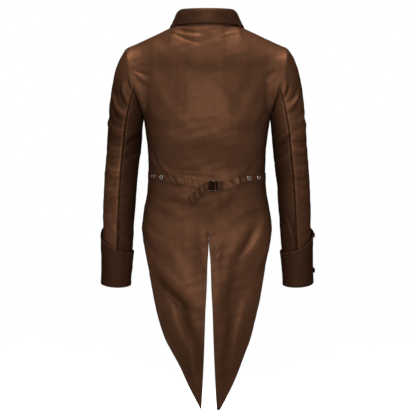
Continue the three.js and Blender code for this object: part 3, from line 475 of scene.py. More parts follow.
# Puckers of the left strap, and those of the right one, which is twisted beside its fold.
BELT_PUCKERS = columns(
    CREASE,
    [
        (110, 2, 48, 12, 2.6, 0.7, 1),
        (101, -3, 70, 10, 2.2, -0.6, 1),
        (94, 1, 56, 14, 2.4, 0.9, 2),
        (84, -2, 38, 12, 2.6, -0.7, 1),
        (77, 3, 66, 12, 2.2, 0.8, -1),
        (70, -1, 52, 14, 2.8, 0.6, 1),
        (61, 2, 74, 10, 2.2, -0.8, 1),
        (55, -3, 44, 12, 2.2, 0.8, 2),
        (45, 1, 60, 13, 2.6, 0.5, 1),
        (38, -2, 76, 10, 2.0, -0.6, 1),
        (30, 2, 50, 11, 2.2, 0.7, -1),
        (20, 0, 66, 12, 2.2, -0.4, 1),
    ],
)
BELT_TWIST = columns(
    CREASE,
    [
        (83, 0, -70, 16, 3.4, 1.8, 1),
        (74, 0, -62, 14, 3, -0.9, 1),
        (62, 2, -48, 14, 3.4, 0.7, 1),
        (98, 0, -34, 16, 4, 0.6, 1),
        (46, 0, -70, 10, 3, 0.5, 1),
        (34, 1, -80, 10, 2.2, 0.6, 1),
    ],
)

# Half profiles of the trim: radius, and height above the cloth.
BUTTON_PROFILE = (
    (0, 0.1),
    (2.1, 0.1),
    (2.1, 2.4),
    (6.2, 2.6),
    (7.1, 3.0),
    (7.5, 3.7),
    (7.2, 4.4),
    (6.5, 4.8),
    (5.9, 4.7),
    (5.5, 4.4),
    (4.8, 4.6),
    (3.2, 5.3),
    (1.5, 5.7),
    (0, 5.8),
)
EYELET_PROFILE = (
    (2.55, -1.6),
    (3.0, -1.6),
    (3.05, 0.1),
    (5.2, 0.05),
    (5.9, 0.3),
    (5.95, 0.8),
    (5.4, 1.3),
    (4.4, 1.5),
    (3.4, 1.3),
    (2.75, 0.7),
)


# Small maths

def lerp(a, b, t):
    return a + (b - a) * t


def smooth(x, low, high):
    t = np.clip((np.asarray(x, float) - low) / (high - low), 0, 1)
    return t * t * (3 - 2 * t)


def near(distance, width):
    """1 at a place, and fading to nothing over about twice the width."""
    return np.exp(-((distance / width) ** 2))


def vec(x, y, z):
    return np.stack(np.broadcast_arrays(x, y, z), axis=-1).astype(float)


def unit(v):
    return v / np.maximum(np.linalg.norm(v, axis=-1, keepdims=True), 1e-9)


def hermite(t, start, end, leaving, arriving):
    t2 = t * t
    t3 = t2 * t
    return (
        (2 * t3 - 3 * t2 + 1) * start
        + (t3 - 2 * t2 + t) * leaving
        + (3 * t2 - 2 * t3) * end
        + (t3 - t2) * arriving
    )


def curve(table, at, key):
    """A smooth curve through a table's column that never overshoots it."""
    order = np.argsort(table[at])
    xs = table[at][order]
    ys = table[key][order]
    secant = np.diff(ys) / np.diff(xs)
    before = secant[:-1]
    after = secant[1:]
    rising = before * after > 0
    total = np.where(rising, before + after, 1)
    middle = np.where(rising, 2 * before * after / total, 0)
    slope = np.concatenate([secant[:1], middle, secant[-1:]])

    def value(x):
        x = np.clip(x, xs[0], xs[-1])
        i = np.clip(np.searchsorted(xs, x, side="right") - 1, 0, len(xs) - 2)
        step = xs[i + 1] - xs[i]
        return hermite((x - xs[i]) / step, ys[i], ys[i + 1], slope[i] * step, slope[i + 1] * step)

    return value


def crease_height(across, up, table):
    """How far the creases of a table lift the cloth: soft ridges, each with a hollow beside it."""
    total = np.zeros(np.broadcast(across, up).shape)
    for i in range(len(table["z"])):
        angle = math.radians(table["angle"][i])
        dx = across - table["x"][i]
        dz = up - table["z"][i]
        along = (dx * math.cos(angle) + dz * math.sin(angle)) / table["long"][i]
        bow = table["bow"][i] * along**2
        aside = (dz * math.cos(angle) - dx * math.sin(angle) - bow) / table["wide"][i]
        ridge = near(aside, 1) - 0.4 * near(aside - 1.5, 1.2)
        total += table["height"][i] * ridge * near(along, 1)
    return total


def undulation(across, up, height, seed):
    """Slow uneven swells, the same on every run."""
    rng = np.random.default_rng(seed)
    total = np.zeros(np.broadcast(across, up).shape)
    for length in (120, 85, 60, 44, 31, 23):
        for _ in range(3):
            angle = rng.uniform(0, math.tau)
            phase = rng.uniform(0, math.tau)
            way = (across * math.cos(angle) + up * math.sin(angle)) * math.tau / length
            total += np.sin(way + phase) * (length / 120) ** 0.7
    return total * height / 4


# Body surfaces

body_side = curve(BODY, "z", "side")
body_back = curve(BODY, "z", "back")
body_front = curve(BODY, "z", "front")
body_square = curve(BODY, "z", "square")
tail_outer = curve(TAIL, "z", "outer")
tail_inner = curve(TAIL, "z", "inner")
sway_inner = curve(SWAY, "z", "inner")
sway_outer = curve(SWAY, "z", "outer")


def ring_point(turn, z):
    """The body's outline at a height: 0 degrees is the centre back, 90 the left side."""
    power = 2 / body_square(z)
    sine = np.sin(np.radians(turn))
    cosine = np.cos(np.radians(turn))
    depth = np.where(cosine > 0, body_back(z), body_front(z))
    x = np.sign(sine) * body_side(z) * np.abs(sine) ** power
    y = np.sign(cosine) * depth * np.abs(cosine) ** power
    return vec(x, y, z)


def ring_turn(x, z):
    """The turn at which the body's outline is a given distance from the centre."""
    share = np.minimum(1, np.abs(x) / body_side(z)) ** (body_square(z) / 2)
    return np.sign(x) * np.degrees(np.arcsin(share))


def top_edge(across, face):
    """The yoke's top edge: round the neck from the centre, then along the shoulder seam."""
    across = np.asarray(across, float)
    turn = np.radians(90 * np.minimum(across, NECK_SHARE) / NECK_SHARE)
    drop = (face["neck_z"] - NECK_SIDE_Z) * np.cos(turn) ** 2
    depth = face["facing"] * face["neck_y"] * np.cos(turn)
    neck = vec(NECK_HALF * np.sin(turn), depth, NECK_SIDE_Z + drop)
    along = np.clip((across - NECK_SHARE) / (1 - NECK_SHARE), 0, 1)
    height = lerp(NECK_SIDE_Z, SHOULDER[2], along) - SHOULDER_SAG * np.sin(np.pi * along)
    seam = vec(lerp(NECK_HALF, SHOULDER[0], along), 0, height)
    return np.where((across <= NECK_SHARE)[..., None], neck, seam)


def rounded_top_edge(across, face):
    """The top edge with the corner between neck and shoulder rounded off, for the cloth below."""
    reach = smooth(across, 0, 0.15) * (1 - smooth(across, 0.8, 1))
    total = 0
    for step, weight in ((-0.15, 0.15), (-0.075, 0.22), (0, 0.26), (0.075, 0.22), (0.15, 0.15)):
        total = total + weight * top_edge(np.clip(across + step * reach, 0, 1), face)
    return total


def top_direction(across, face):
    """The way that the cloth runs as it comes up to the top edge."""
    seam_at = np.maximum(across, NECK_SHARE + 0.002)
    along = unit(top_edge(seam_at, face) - top_edge(seam_at - 0.002, face))
    neckward = 0.55 * (1 - smooth(across, NECK_SHARE, 1))
    over = unit(vec(0, -face["facing"], 0) - along * neckward[..., None])
    return unit(lerp(face["lean"], over, smooth(across, 0, NECK_SHARE)[..., None]))


def yoke_point(across, height, face):
    """The body above the chest: height 0 is the chest and 1 the top edge, across 1 the armhole."""
    across, height = np.broadcast_arrays(np.asarray(across, float), np.asarray(height, float))
    mirrored = np.where(across < 0, -1, 1)
    share = np.abs(across)
    facing = face["facing"]
    turn = 90 * share if facing > 0 else 180 - 90 * share
    start = ring_point(turn, CHEST_Z)
    edge = top_edge(share, face)
    end = rounded_top_edge(share, face)
    loop = smooth(share, 0.6, 1)
    backward = unit(ring_point(turn - facing, CHEST_Z) - ring_point(turn + facing, CHEST_Z))
    leaving = backward * (ARMHOLE_LOOP * loop)[..., None]
    leaving[..., 2] += lerp(275, 34, loop)
    speed = lerp(lerp(235, 200, smooth(share, 0, NECK_SHARE)), ARMHOLE_LOOP, loop)
    arriving = top_direction(share, face) * speed[..., None]
    point = hermite(height[..., None], start, end, leaving, arriving)
    point += (edge - end) * smooth(height, 0.45, 1)[..., None]
    point[..., 0] += face["bulge"] * loop * 16 * height**2 * (1 - height) ** 2
    point[..., 0] *= mirrored
    return point


def back_base(across, level):
    """A back: level 1 is its top edge, 0 the chest, -1 the hip and -2 the tail's tip."""
    across, level = np.broadcast_arrays(np.asarray(across, float), np.asarray(level, float))
    low = np.minimum(level, 0)
    above_hip = lerp(CHEST_Z, HIP_Z, -low)
    z = np.where(low > -1, above_hip, lerp(HIP_Z, TAIL_TIP_Z, -low - 1))
    inner = ring_turn(tail_inner(z), z)
    outer = np.where(z > HIP_Z, 90, ring_turn(tail_outer(z), z))
    lower = ring_point(lerp(inner, outer, across), z)
    upper = yoke_point(across, np.maximum(level, 0), BACK)
    return np.where((level > 0)[..., None], upper, lower)


def front_base(across, level):
    """A front: level 1 is its top edge, 0 the chest and -1 the hem."""
    across, level = np.broadcast_arrays(np.asarray(across, float), np.asarray(level, float))
    hem = lerp(FRONT_HEM_Z, HIP_Z, np.abs(across) ** 1.5)
    lower = ring_point(180 - 90 * across, lerp(CHEST_Z, hem, -np.minimum(level, 0)))
    upper = yoke_point(across, np.maximum(level, 0), FRONT)
    return np.where((level > 0)[..., None], upper, lower)


def surface_normal(surface, u, v, step=0.004):
    """A surface's normal, from points a small step to each side."""
    du = surface(u + step, v) - surface(u - step, v)
    dv = surface(u, v + step) - surface(u, v - step)
    return unit(np.cross(du, dv))


def on_back(x, z, lift):
    """Points of the back's outline, moved out by a lift, and the way that they face."""
    side = np.where(np.asarray(x) < 0, -1.0, 1.0)
    across = ring_turn(np.abs(x), z) / 90
    level = -(z - CHEST_Z) / (HIP_Z - CHEST_Z)
    normal = -surface_normal(back_base, np.minimum(across, 0.99), level)
    point = back_base(across, level) + normal * np.asarray(lift)[..., None]
    point[..., 0] *= side
    normal[..., 0] *= side
    return point, normal


# Sleeve surfaces

sleeve_x = curve(SLEEVE, "z", "x")
sleeve_y = curve(SLEEVE, "z", "y")
sleeve_wide = curve(SLEEVE, "z", "wide")
sleeve_deep = curve(SLEEVE, "z", "deep")
cuff_top = curve(CUFF_TOP, "turn", "height")


def armhole_point(turn):
    """The armhole's edge, from the shoulder down the back and up the front again."""
    turn = np.mod(turn, 360)
    behind = yoke_point(1.0, 1 - np.minimum(turn, 180) / 180, BACK)
    before = yoke_point(1.0, np.maximum(turn, 180) / 180 - 1, FRONT)
    return np.where((turn <= 180)[..., None], behind, before)


def sleeve_axis(z):
    """The way down the sleeve's middle line."""
    across = sleeve_x(z - 2) - sleeve_x(z + 2)
    return unit(vec(across, sleeve_y(z - 2) - sleeve_y(z + 2), -4.0))


def tube_point(turn, z, grow=0.0):
    """A point round the sleeve: 0 degrees is outside the arm and 90 behind it."""
    turn, z = np.broadcast_arrays(np.asarray(turn, float), np.asarray(z, float))
    axis = sleeve_axis(np.clip(z, SLEEVE_HEM_Z + 4, SLEEVE_CAP_Z - 4))
    outward = unit(vec(-axis[..., 2], 0, axis[..., 0]))
    backward = unit(np.cross(outward, axis))
    below = np.minimum(0, z - SLEEVE_HEM_Z)[..., None]
    wide = ((sleeve_wide(z) + grow) * np.cos(np.radians(turn)))[..., None]
    deep = ((sleeve_deep(z) + grow) * np.sin(np.radians(turn)))[..., None]
    centre = vec(sleeve_x(z), sleeve_y(z), np.maximum(z, SLEEVE_HEM_Z))
    return centre - axis * below + outward * wide + backward * deep


def seam_turn(turn):
    """Turns below the sleeve's head, which are drawn aside near the back seam."""
    away = np.mod(turn - BACK_SEAM_TURN + 180, 360) - 180
    return turn - SEAM_DRIFT * near(away, 60)


def sleeve_base(turn, down):
    """Down the sleeve: 0 is the armhole, 1 the end of the shaped head and 2 the hem."""
    turn, down = np.broadcast_arrays(np.asarray(turn, float), np.asarray(down, float))
    around = seam_turn(turn)
    lower = tube_point(around, lerp(SLEEVE_CAP_Z, SLEEVE_HEM_Z, np.maximum(down, 1) - 1))
    start = armhole_point(turn)
    end = tube_point(around, np.full(around.shape, SLEEVE_CAP_Z))
    reach = np.linalg.norm(end - start, axis=-1)
    outward = 0.1 + 0.31 * (1 + np.cos(np.radians(turn)))
    leaving = vec(outward, 0, -np.sqrt(1 - outward**2)) * (reach * 0.7)[..., None]
    arriving = sleeve_axis(SLEEVE_CAP_Z) * (reach * 0.95)[..., None]
    head = hermite(np.clip(down, 0, 1)[..., None], start, end, leaving, arriving)
    return np.where((down >= 1)[..., None], lower, head)


def cuff_base(turn, up, word):
    """Up a cuff: 0 is its fold at the hem and 1 its top edge."""
    height = lerp(-CUFF_DROP, cuff_top(turn), up)
    past_lap = turn + CUFF_FORWARD[word]
    lap = CUFF_LAP_RISE * (1 - smooth(past_lap, CUFF_LAP_END - 360, 18))
    return tube_point(turn, SLEEVE_HEM_Z + height, CUFF_EASE + lap + 1.4 * smooth(up, 0.3, 1))


# Collar surfaces

collar_at = {key: curve(COLLAR, "turn", key) for key in ("stand", "lean", "across", "down", "lift")}


def out_of_neck(turn):
    return vec(np.sin(np.radians(turn)), np.cos(np.radians(turn)), 0)


def neckline_point(turn):
    """The neckline, from the centre back round to the centre front."""
    around = np.abs(turn)
    behind = top_edge(NECK_SHARE * np.minimum(around, 90) / 90, BACK)
    before = top_edge(NECK_SHARE * (180 - np.maximum(around, 90)) / 90, FRONT)
    point = np.where((around <= 90)[..., None], behind, before)
    point[..., 0] *= np.where(turn < 0, -1, 1)
    return point


def stand_base(turn, up):
    """The collar's stand: up 0 is its seam on the neckline and 1 its top edge."""
    turn, up = np.broadcast_arrays(np.asarray(turn, float), np.asarray(up, float))
    around = np.abs(turn)
    point = neckline_point(turn)
    point[..., 2] += SEAM_GAP + up * collar_at["stand"](around)
    return point - out_of_neck(turn) * (up * collar_at["lean"](around))[..., None]


def fall_edge(turn):
    """The free edge of the collar's fall, a little off the yoke."""
    around = np.abs(turn)
    across = collar_at["across"](around)
    height = 1 - collar_at["down"](around) / YOKE_LENGTH
    inside = (np.maximum(across, 0.02), np.minimum(height, 0.99))
    point = 0
    for face, chosen in ((BACK, around <= 90), (FRONT, around > 90)):
        normal = -face["facing"] * surface_normal(lambda u, v: yoke_point(u, v, face), *inside)
        here = yoke_point(across, height, face) + normal * collar_at["lift"](around)[..., None]
        point = point + here * chosen[..., None]
    point[..., 0] *= np.where(turn < 0, -1, 1)
    return point


def fall_base(turn, down):
    """The collar's fall: down 0 is the fold and 1 its free edge."""
    turn, down = np.broadcast_arrays(np.asarray(turn, float), np.asarray(down, float))
    away = out_of_neck(turn)
    fold = stand_base(turn, 1.0) - away * STIFF_CLOTH
    fold[..., 2] += SEAM_GAP + STIFF_CLOTH + FOLD_ROOM
    edge = fall_edge(turn)
    drop = np.linalg.norm(edge - fold, axis=-1)[..., None]
    leaving = away * drop * 0.92
    leaving[..., 2] += 6
    arriving = unit(edge - fold) * drop * 0.7
    arriving[..., 2] -= drop[..., 0] * 0.35
    return hermite(down[..., None], fold, edge, leaving, arriving)


# Shells of cloth

def spread(count, low=0.0, high=1.0, gather=0.55):
    """Places from low to high that lie closer together near both ends."""
    t = np.linspace(0, 1, count)
    return lerp(low, high, t - gather * np.sin(math.tau * t) / math.tau)


def run_lengths(points, axis):
    """How far each point lies along its row or column of a grid."""
    steps = np.linalg.norm(np.diff(points, axis=axis), axis=-1)
    start = np.zeros_like(np.take(steps, [0], axis=axis))
    return np.concatenate([start, np.cumsum(steps, axis=axis)], axis=axis)


def edge_distances(points):
    """How far each point of a grid lies from its first and last column and row."""
    across = run_lengths(points, 1)
    down = run_lengths(points, 0)
    return {
        "first": across,
        "last": across[:, -1:] - across,
        "top": down,
        "bottom": down[-1:] - down,
    }


def seam_dip(distance, depth=0.8, width=2.4):
    """Cloth turned in at a seam: it dips to the seam and swells a little beside it."""
    return 0.35 * near(distance - 7, 4) - depth * near(distance, width)


def hem_ridge(distance, turned=PLAIN_HEM):
    """A turned hem: a thicker edge with a shallow dent along its stitching."""
    thick = 0.5 * (1 - smooth(distance, turned - 1, turned + 3))
    return thick - 0.35 * near(distance - turned + 1.5, 1.6)


def grid_normals(points):
    return unit(np.cross(np.gradient(points, axis=1), np.gradient(points, axis=0)))


def plain_mesh(name, points, faces, uvs=None, shade=None):
    """A smooth mesh in metres from points in millimetres, facing outwards."""
    mesh = bpy.data.meshes.new(name)
    mesh.from_pydata((points / 1000).tolist(), [], faces)
    mesh.polygons.foreach_set("use_smooth", np.ones(len(mesh.polygons), bool))
    if uvs is not None:
        layer = mesh.uv_layers.new(name="Cloth")
        corner = np.zeros(len(mesh.loops), np.int32)
        mesh.loops.foreach_get("vertex_index", corner)
        layer.data.foreach_set("uv", (uvs[corner] / 1000).astype(np.float32).ravel())
    if shade is not None:
        tone = mesh.attributes.new("Shade", "FLOAT", "POINT")
        tone.data.foreach_set("value", shade.astype(np.float32))
    tidy = bmesh.new()
    tidy.from_mesh(mesh)
    if tidy.calc_volume(signed=True) < 0:
        bmesh.ops.reverse_faces(tidy, faces=tidy.faces)
    tidy.to_mesh(mesh)
    tidy.free()
    mesh.update()
    piece = bpy.data.objects.new(name, mesh)
    bpy.context.scene.collection.objects.link(piece)
    return piece


def shell(
    name,
    points,
    thickness,
    outward,
    side=1,
    free=(),
    shade=None,
    free_below=1e9,
    turned_over=False,
):
    """A closed wall of cloth under a grid of outer points.

    Its free edges are rounded, and its sewn edges are crisp so that they meet without a line.
    Cloth that is turned over shows both its sides, so both are painted alike. Outward is 1 where
    the grid faces out of the coat, and -1 where it faces into it.
    """
    shade = np.ones(points.shape[:2]) if shade is None else shade
    points = points.copy()
    if side < 0:
        points[..., 0] *= -1
    normals = grid_normals(points) * outward * side
    rows, cols = points.shape[:2]
    count = rows * cols
    index = np.arange(count).reshape(rows, cols)
    rim = np.concatenate(
        [index[0, :-1], index[:-1, -1], index[-1, :0:-1], index[:0:-1, 0]]
    )
    row, col = np.divmod(rim, cols)
    inner_row = np.clip(row, 1, rows - 2)
    inner_col = np.clip(col, 1, cols - 2)
    flat = points.reshape(-1, 3)
    flat_normals = normals.reshape(-1, 3)
    off = unit(flat[rim] - points[inner_row, inner_col])
    on_side = {"top": row == 0, "bottom": row == rows - 1, "first": col == 0, "last": col == cols - 1}
    rounded = np.zeros(len(rim), bool)
    for word in free:
        rounded |= on_side[word]
    rounded &= flat[rim, 2] < free_below
    bulge = np.where(rounded, thickness * 0.25, 0)[:, None]
    flat = flat.copy()
    flat[rim] -= off * (bulge + np.where(rounded, SEAM_INSET, 0)[:, None])
    middle = flat[rim] - flat_normals[rim] * thickness / 2 + off * bulge
    inside = flat - flat_normals * thickness
    faces = []
    quads = np.stack(
        [index[:-1, :-1], index[1:, :-1], index[1:, 1:], index[:-1, 1:]], axis=-1
    ).reshape(-1, 4)
    faces.extend(quads.tolist())
    faces.extend((quads[:, ::-1] + count).tolist())
    mids = np.arange(len(rim)) + 2 * count
    after = np.roll(rim, -1)
    mids_after = np.roll(mids, -1)
    faces.extend(np.stack([rim, after, mids_after, mids], axis=-1).tolist())
    faces.extend(np.stack([mids, mids_after, after + count, rim + count], axis=-1).tolist())
    uv = np.stack([run_lengths(points, 1), run_lengths(points, 0)], axis=-1).reshape(-1, 2)
    uvs = np.concatenate([uv, uv, uv[rim]])
    # The painted shade and highlights of the outer side; the wrong side is painted darker unless the
    # cloth is turned over.
    tone = shade.ravel()
    wrong_side = tone if turned_over else np.full(count, WRONG_SIDE_SHADE)
    tones = np.concatenate([tone, wrong_side, tone[rim]])
    piece = plain_mesh(name, np.concatenate([flat, inside, middle]), faces, uvs, tones)
    sewn = np.zeros(2 * count + len(rim), bool)
    sewn[rim] = ~rounded
    sewn[rim + count] = ~rounded
    ends = np.zeros(2 * len(piece.data.edges), np.int32)
    piece.data.edges.foreach_get("vertices", ends)
    piece.data.edges.foreach_set("use_edge_sharp", sewn[ends].reshape(-1, 2).all(axis=1))
    return piece


def crease_shade(folds):
    """Cloth painted a little darker in a hollow, as painted shade, and paler on a ridge, as a painted
    highlight.
    """
    return np.clip(1 + 0.1 * folds, 0.6, 1.35)


def to_side(points, side):
    """Points that were laid out on the left, taken to the side that is meant."""
    return points * np.array([side, 1, 1])


def painted_light_spots(x, z):
    """The painted highlights and painted shade of the broad paler and darker places on the back."""
    total = np.ones(x.shape)
    for i in range(len(BACK_PAINTED_LIGHT["x"])):
        aside = (x - BACK_PAINTED_LIGHT["x"][i]) / BACK_PAINTED_LIGHT["wide"][i]
        up = (z - BACK_PAINTED_LIGHT["z"][i]) / BACK_PAINTED_LIGHT["high"][i]
        total += BACK_PAINTED_LIGHT["amount"][i] * np.exp(-(aside**2) - up**2)
    return total


def measure(name, points):
    """Prints a piece's area and its longest row and column, in metres."""
    a = points[1:, 1:] - points[:-1, :-1]
    b = points[1:, :-1] - points[:-1, 1:]
    area = np.linalg.norm(np.cross(a, b), axis=-1).sum() / 2e6
    wide = run_lengths(points, 1)[:, -1].max() / 1000
    long = run_lengths(points, 0)[-1].max() / 1000
    print(f"SIZE {name} area {area:.4f} wide {wide:.3f} long {long:.3f}")


def bind(piece, finish, *nodes):
    """Binds a piece to the frame in place of the nodes that it stands for."""
    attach(piece, RIDES_ON)
    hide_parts(*nodes)


def finish_cloth(piece, finish, nodes):
    """Dyes and binds a piece of cloth."""
    piece.data.materials.append(coat_material(finish))
    bind(piece, finish, *nodes)


# Materials

def new_group(name, inputs, outputs):
    """An empty shader group with its named sockets, and its input and output nodes."""
    group = bpy.data.node_groups.new(name, "ShaderNodeTree")
    for socket, kind, value in inputs:
        made = group.interface.new_socket(socket, in_out="INPUT", socket_type=kind)
        if value is not None:
            made.default_value = value
    for socket, kind in outputs:
        group.interface.new_socket(socket, in_out="OUTPUT", socket_type=kind)
    return group, group.nodes.new("NodeGroupInput"), group.nodes.new("NodeGroupOutput")


def link_maths(tree, operation, *values):
    """A maths node fed with sockets or numbers."""
    node = tree.nodes.new("ShaderNodeMath")
    node.operation = operation
    for place, value in enumerate(values):
        if isinstance(value, bpy.types.NodeSocket):
            tree.links.new(value, node.inputs[place])
        else:
            node.inputs[place].default_value = value
    return node.outputs[0]


FLOAT = "NodeSocketFloat"
VECTOR = "NodeSocketVector"


def twill_group():
    """Fine slanting ribs over crossed threads: a height and a thread mask from cloth places."""
    group, given, made = new_group(
        "Twill weave",
        [("Place", VECTOR, None), ("Threads per Metre", FLOAT, 1400.0), ("Slub", FLOAT, 0.35)],
        [("Height", FLOAT), ("Thread Mask", FLOAT)],
    )
    split = group.nodes.new("ShaderNodeSeparateXYZ")
    group.links.new(given.outputs["Place"], split.inputs[0])
    across = link_maths(group, "MULTIPLY", split.outputs[0], given.outputs["Threads per Metre"])
    along = link_maths(group, "MULTIPLY", split.outputs[1], given.outputs["Threads per Metre"])
    slant = link_maths(group, "ADD", across, along)
    rib = link_maths(group, "SINE", link_maths(group, "MULTIPLY", slant, math.pi / 1.5))
    cross = link_maths(group, "SINE", link_maths(group, "MULTIPLY", across, math.tau))
    slub = group.nodes.new("ShaderNodeTexNoise")
    slub.inputs["Scale"].default_value = 900.0
    slub.inputs["Detail"].default_value = 2.0
    group.links.new(given.outputs["Place"], slub.inputs["Vector"])
    slubs = link_maths(group, "MULTIPLY", slub.outputs["Fac"], given.outputs["Slub"])
    ribs = link_maths(group, "ADD", rib, link_maths(group, "MULTIPLY", cross, 0.3))
    group.links.new(link_maths(group, "ADD", ribs, slubs), made.inputs["Height"])
    mask = link_maths(group, "MULTIPLY_ADD", rib, 0.5, 0.5)
    group.links.new(mask, made.inputs["Thread Mask"])
    return group


def cloudy_group():
    """Slow uneven darker and lighter places, as on worn and pressed cloth."""
    group, given, made = new_group(
        "Cloudy shade",
        [("Place", VECTOR, None), ("Scale", FLOAT, 9.0), ("Amount", FLOAT, 0.2)],
        [("Shade", FLOAT)],
    )
    noise = group.nodes.new("ShaderNodeTexNoise")
    noise.inputs["Detail"].default_value = 4.0
    noise.inputs["Roughness"].default_value = 0.55
    group.links.new(given.outputs["Place"], noise.inputs["Vector"])
    group.links.new(given.outputs["Scale"], noise.inputs["Scale"])
    around = link_maths(group, "SUBTRACT", noise.outputs["Fac"], 0.5)
    swing = link_maths(group, "MULTIPLY", around, given.outputs["Amount"])
    group.links.new(link_maths(group, "ADD", swing, 1.0), made.inputs["Shade"])
    return group


def edge_wear_group():
    """A mask that is bright on sharp convex edges, broken up by noise."""
    group, given, made = new_group(
        "Edge wear",
        [("Place", VECTOR, None), ("From", FLOAT, 0.52), ("To", FLOAT, 0.62)],
        [("Mask", FLOAT)],
    )
    geometry = group.nodes.new("ShaderNodeNewGeometry")
    noise = group.nodes.new("ShaderNodeTexNoise")
    noise.inputs["Scale"].default_value = 160.0
    group.links.new(given.outputs["Place"], noise.inputs["Vector"])
    rough = link_maths(group, "MULTIPLY_ADD", noise.outputs["Fac"], 0.12, -0.06)
    point = link_maths(group, "ADD", geometry.outputs["Pointiness"], rough)
    span = group.nodes.new("ShaderNodeMapRange")
    group.links.new(point, span.inputs["Value"])
    group.links.new(given.outputs["From"], span.inputs["From Min"])
    group.links.new(given.outputs["To"], span.inputs["From Max"])
    group.links.new(span.outputs["Result"], made.inputs["Mask"])
    return group


groups = {}


def shared_group(name):
    """A shader group by its short name, made once and used by every material."""
    if name not in groups:
        builders = {"twill": twill_group, "cloudy": cloudy_group, "wear": edge_wear_group}
        groups[name] = builders[name]()
    return groups[name]


def place_group(tree, name, **values):
    """Puts a shared group in a material, fed with sockets or numbers."""
    node = tree.nodes.new("ShaderNodeGroup")
    node.node_tree = shared_group(name)
    for socket, value in values.items():
        target = node.inputs[socket.replace("_", " ")]
        if isinstance(value, bpy.types.NodeSocket):
            tree.links.new(value, target)
        else:
            target.default_value = value
    return node


def new_material(name):
    """A new material, its tree, its shader, and the place on the object that its noise reads."""
    material = bpy.data.materials.new(name)
    material.use_nodes = True
    tree = material.node_tree
    place = tree.nodes.new("ShaderNodeTexCoord").outputs["Object"]
    return material, tree, tree.nodes["Principled BSDF"], place


def mix_colour(tree, kind, factor, first, second):
    """A node that mixes two colours, fed with sockets or values."""
    node = tree.nodes.new("ShaderNodeMix")
    node.data_type = "RGBA"
    node.blend_type = kind
    node.clamp_result = False
    for socket, value in (("Factor", factor), ("A", first), ("B", second)):
        target = [s for s in node.inputs if s.name == socket and s.enabled][0]
        if isinstance(value, bpy.types.NodeSocket):
            tree.links.new(value, target)
        else:
            target.default_value = value
    return [s for s in node.outputs if s.enabled][0]


def dye(tree, colour, shade):
    """A colour darkened or lightened by a shade."""
    grey = tree.nodes.new("ShaderNodeCombineColor")
    for channel in range(3):
        tree.links.new(shade, grey.inputs[channel])
    return mix_colour(tree, "MULTIPLY", 1.0, (*colour, 1), grey.outputs[0])


def roughen(tree, shader, shade, rough):
    """Gives a shader its roughness, uneven as the shade is."""
    roughness = link_maths(tree, "MULTIPLY", shade, rough)
    tree.links.new(roughness, shader.inputs["Roughness"])


def emboss(tree, shader, height, strength):
    """Lets a height stand out from the surface by a fraction of a millimetre."""
    bump = tree.nodes.new("ShaderNodeBump")
    bump.inputs["Strength"].default_value = strength
    bump.inputs["Distance"].default_value = 0.0002
    tree.links.new(height, bump.inputs["Height"])
    tree.links.new(bump.outputs["Normal"], shader.inputs["Normal"])


def cloth_material(name, colour, rough, weave, worn):
    """Satin-faced twill: slanting ribs, a brown gloss, slow shade, the painted shade and highlights
    laid on each piece, and paler worn edges.
    """
    material, tree, shader, place = new_material(name)
    uv = tree.nodes.new("ShaderNodeUVMap")
    uv.uv_map = "Cloth"
    twill = place_group(tree, "twill", Place=uv.outputs["UV"])
    slow = place_group(tree, "cloudy", Place=place, Scale=7.0, Amount=0.34)
    fine = place_group(tree, "cloudy", Place=place, Scale=230.0, Amount=0.5)
    shade = link_maths(tree, "MULTIPLY", slow.outputs["Shade"], fine.outputs["Shade"])
    thread = link_maths(tree, "MULTIPLY_ADD", twill.outputs["Thread Mask"], weave, 1 - weave / 2)
    # The painted shade and highlights laid on each piece, as its Shade attribute.
    tone = tree.nodes.new("ShaderNodeAttribute")
    tone.attribute_name = "Shade"
    toned = link_maths(tree, "MULTIPLY", shade, tone.outputs["Fac"])
    dyed = dye(tree, colour, link_maths(tree, "MULTIPLY", toned, thread))
    if worn > 0:
        wear = place_group(tree, "wear", Place=place)
        rubbed = link_maths(tree, "MULTIPLY", wear.outputs["Mask"], worn)
        rubbed = link_maths(tree, "MULTIPLY", rubbed, tone.outputs["Fac"])
        pale = tuple(min(1, c * 1.9 + 0.01) for c in colour)
        dyed = mix_colour(tree, "MIX", rubbed, dyed, (*pale, 1))
    tree.links.new(dyed, shader.inputs["Base Color"])
    roughen(tree, shader, slow.outputs["Shade"], rough)
    shader.inputs["Metallic"].default_value = SATIN_GLOSS
    shader.inputs["Specular IOR Level"].default_value = 0.0
    shader.inputs["Specular Tint"].default_value = SATIN_EDGE_TINT
    emboss(tree, shader, twill.outputs["Height"], 0.18)
    return material


def metal_material(name, colour, pale, rough):
    """Blackened metal: dull in its hollows and rubbed bright along its edges, and on the eyelets that
    bright edge is also a painted glint.
    """
    material, tree, shader, place = new_material(name)
    cloud = place_group(tree, "cloudy", Place=place, Scale=120.0, Amount=0.6)
    wear = place_group(tree, "wear", Place=place, From=0.56, To=0.75)
    base = mix_colour(tree, "MIX", wear.outputs["Mask"], (*colour, 1), (*pale, 1))
    tree.links.new(base, shader.inputs["Base Color"])
    roughen(tree, shader, cloud.outputs["Shade"], rough)
    shader.inputs["Metallic"].default_value = 1.0
    shader.inputs["Specular Tint"].default_value = METAL_EDGE_TINT
    emboss(tree, shader, cloud.outputs["Shade"], 0.12)
    return material


def thread_material(name, colour):
    """Twisted sewing thread."""
    material, tree, shader, place = new_material(name)
    cloud = place_group(tree, "cloudy", Place=place, Scale=400.0, Amount=0.5)
    tree.links.new(dye(tree, colour, cloud.outputs["Shade"]), shader.inputs["Base Color"])
    shader.inputs["Roughness"].default_value = 0.7
    shader.inputs["Specular IOR Level"].default_value = 0.1
    return material


def backdrop_material(name, colour):
    """Matt studio paper."""
    material, tree, shader, place = new_material(name)
    cloud = place_group(tree, "cloudy", Place=place, Scale=0.6, Amount=0.01)
    tree.links.new(dye(tree, colour, cloud.outputs["Shade"]), shader.inputs["Base Color"])
    shader.inputs["Roughness"].default_value = 0.9
    return material


materials = {}


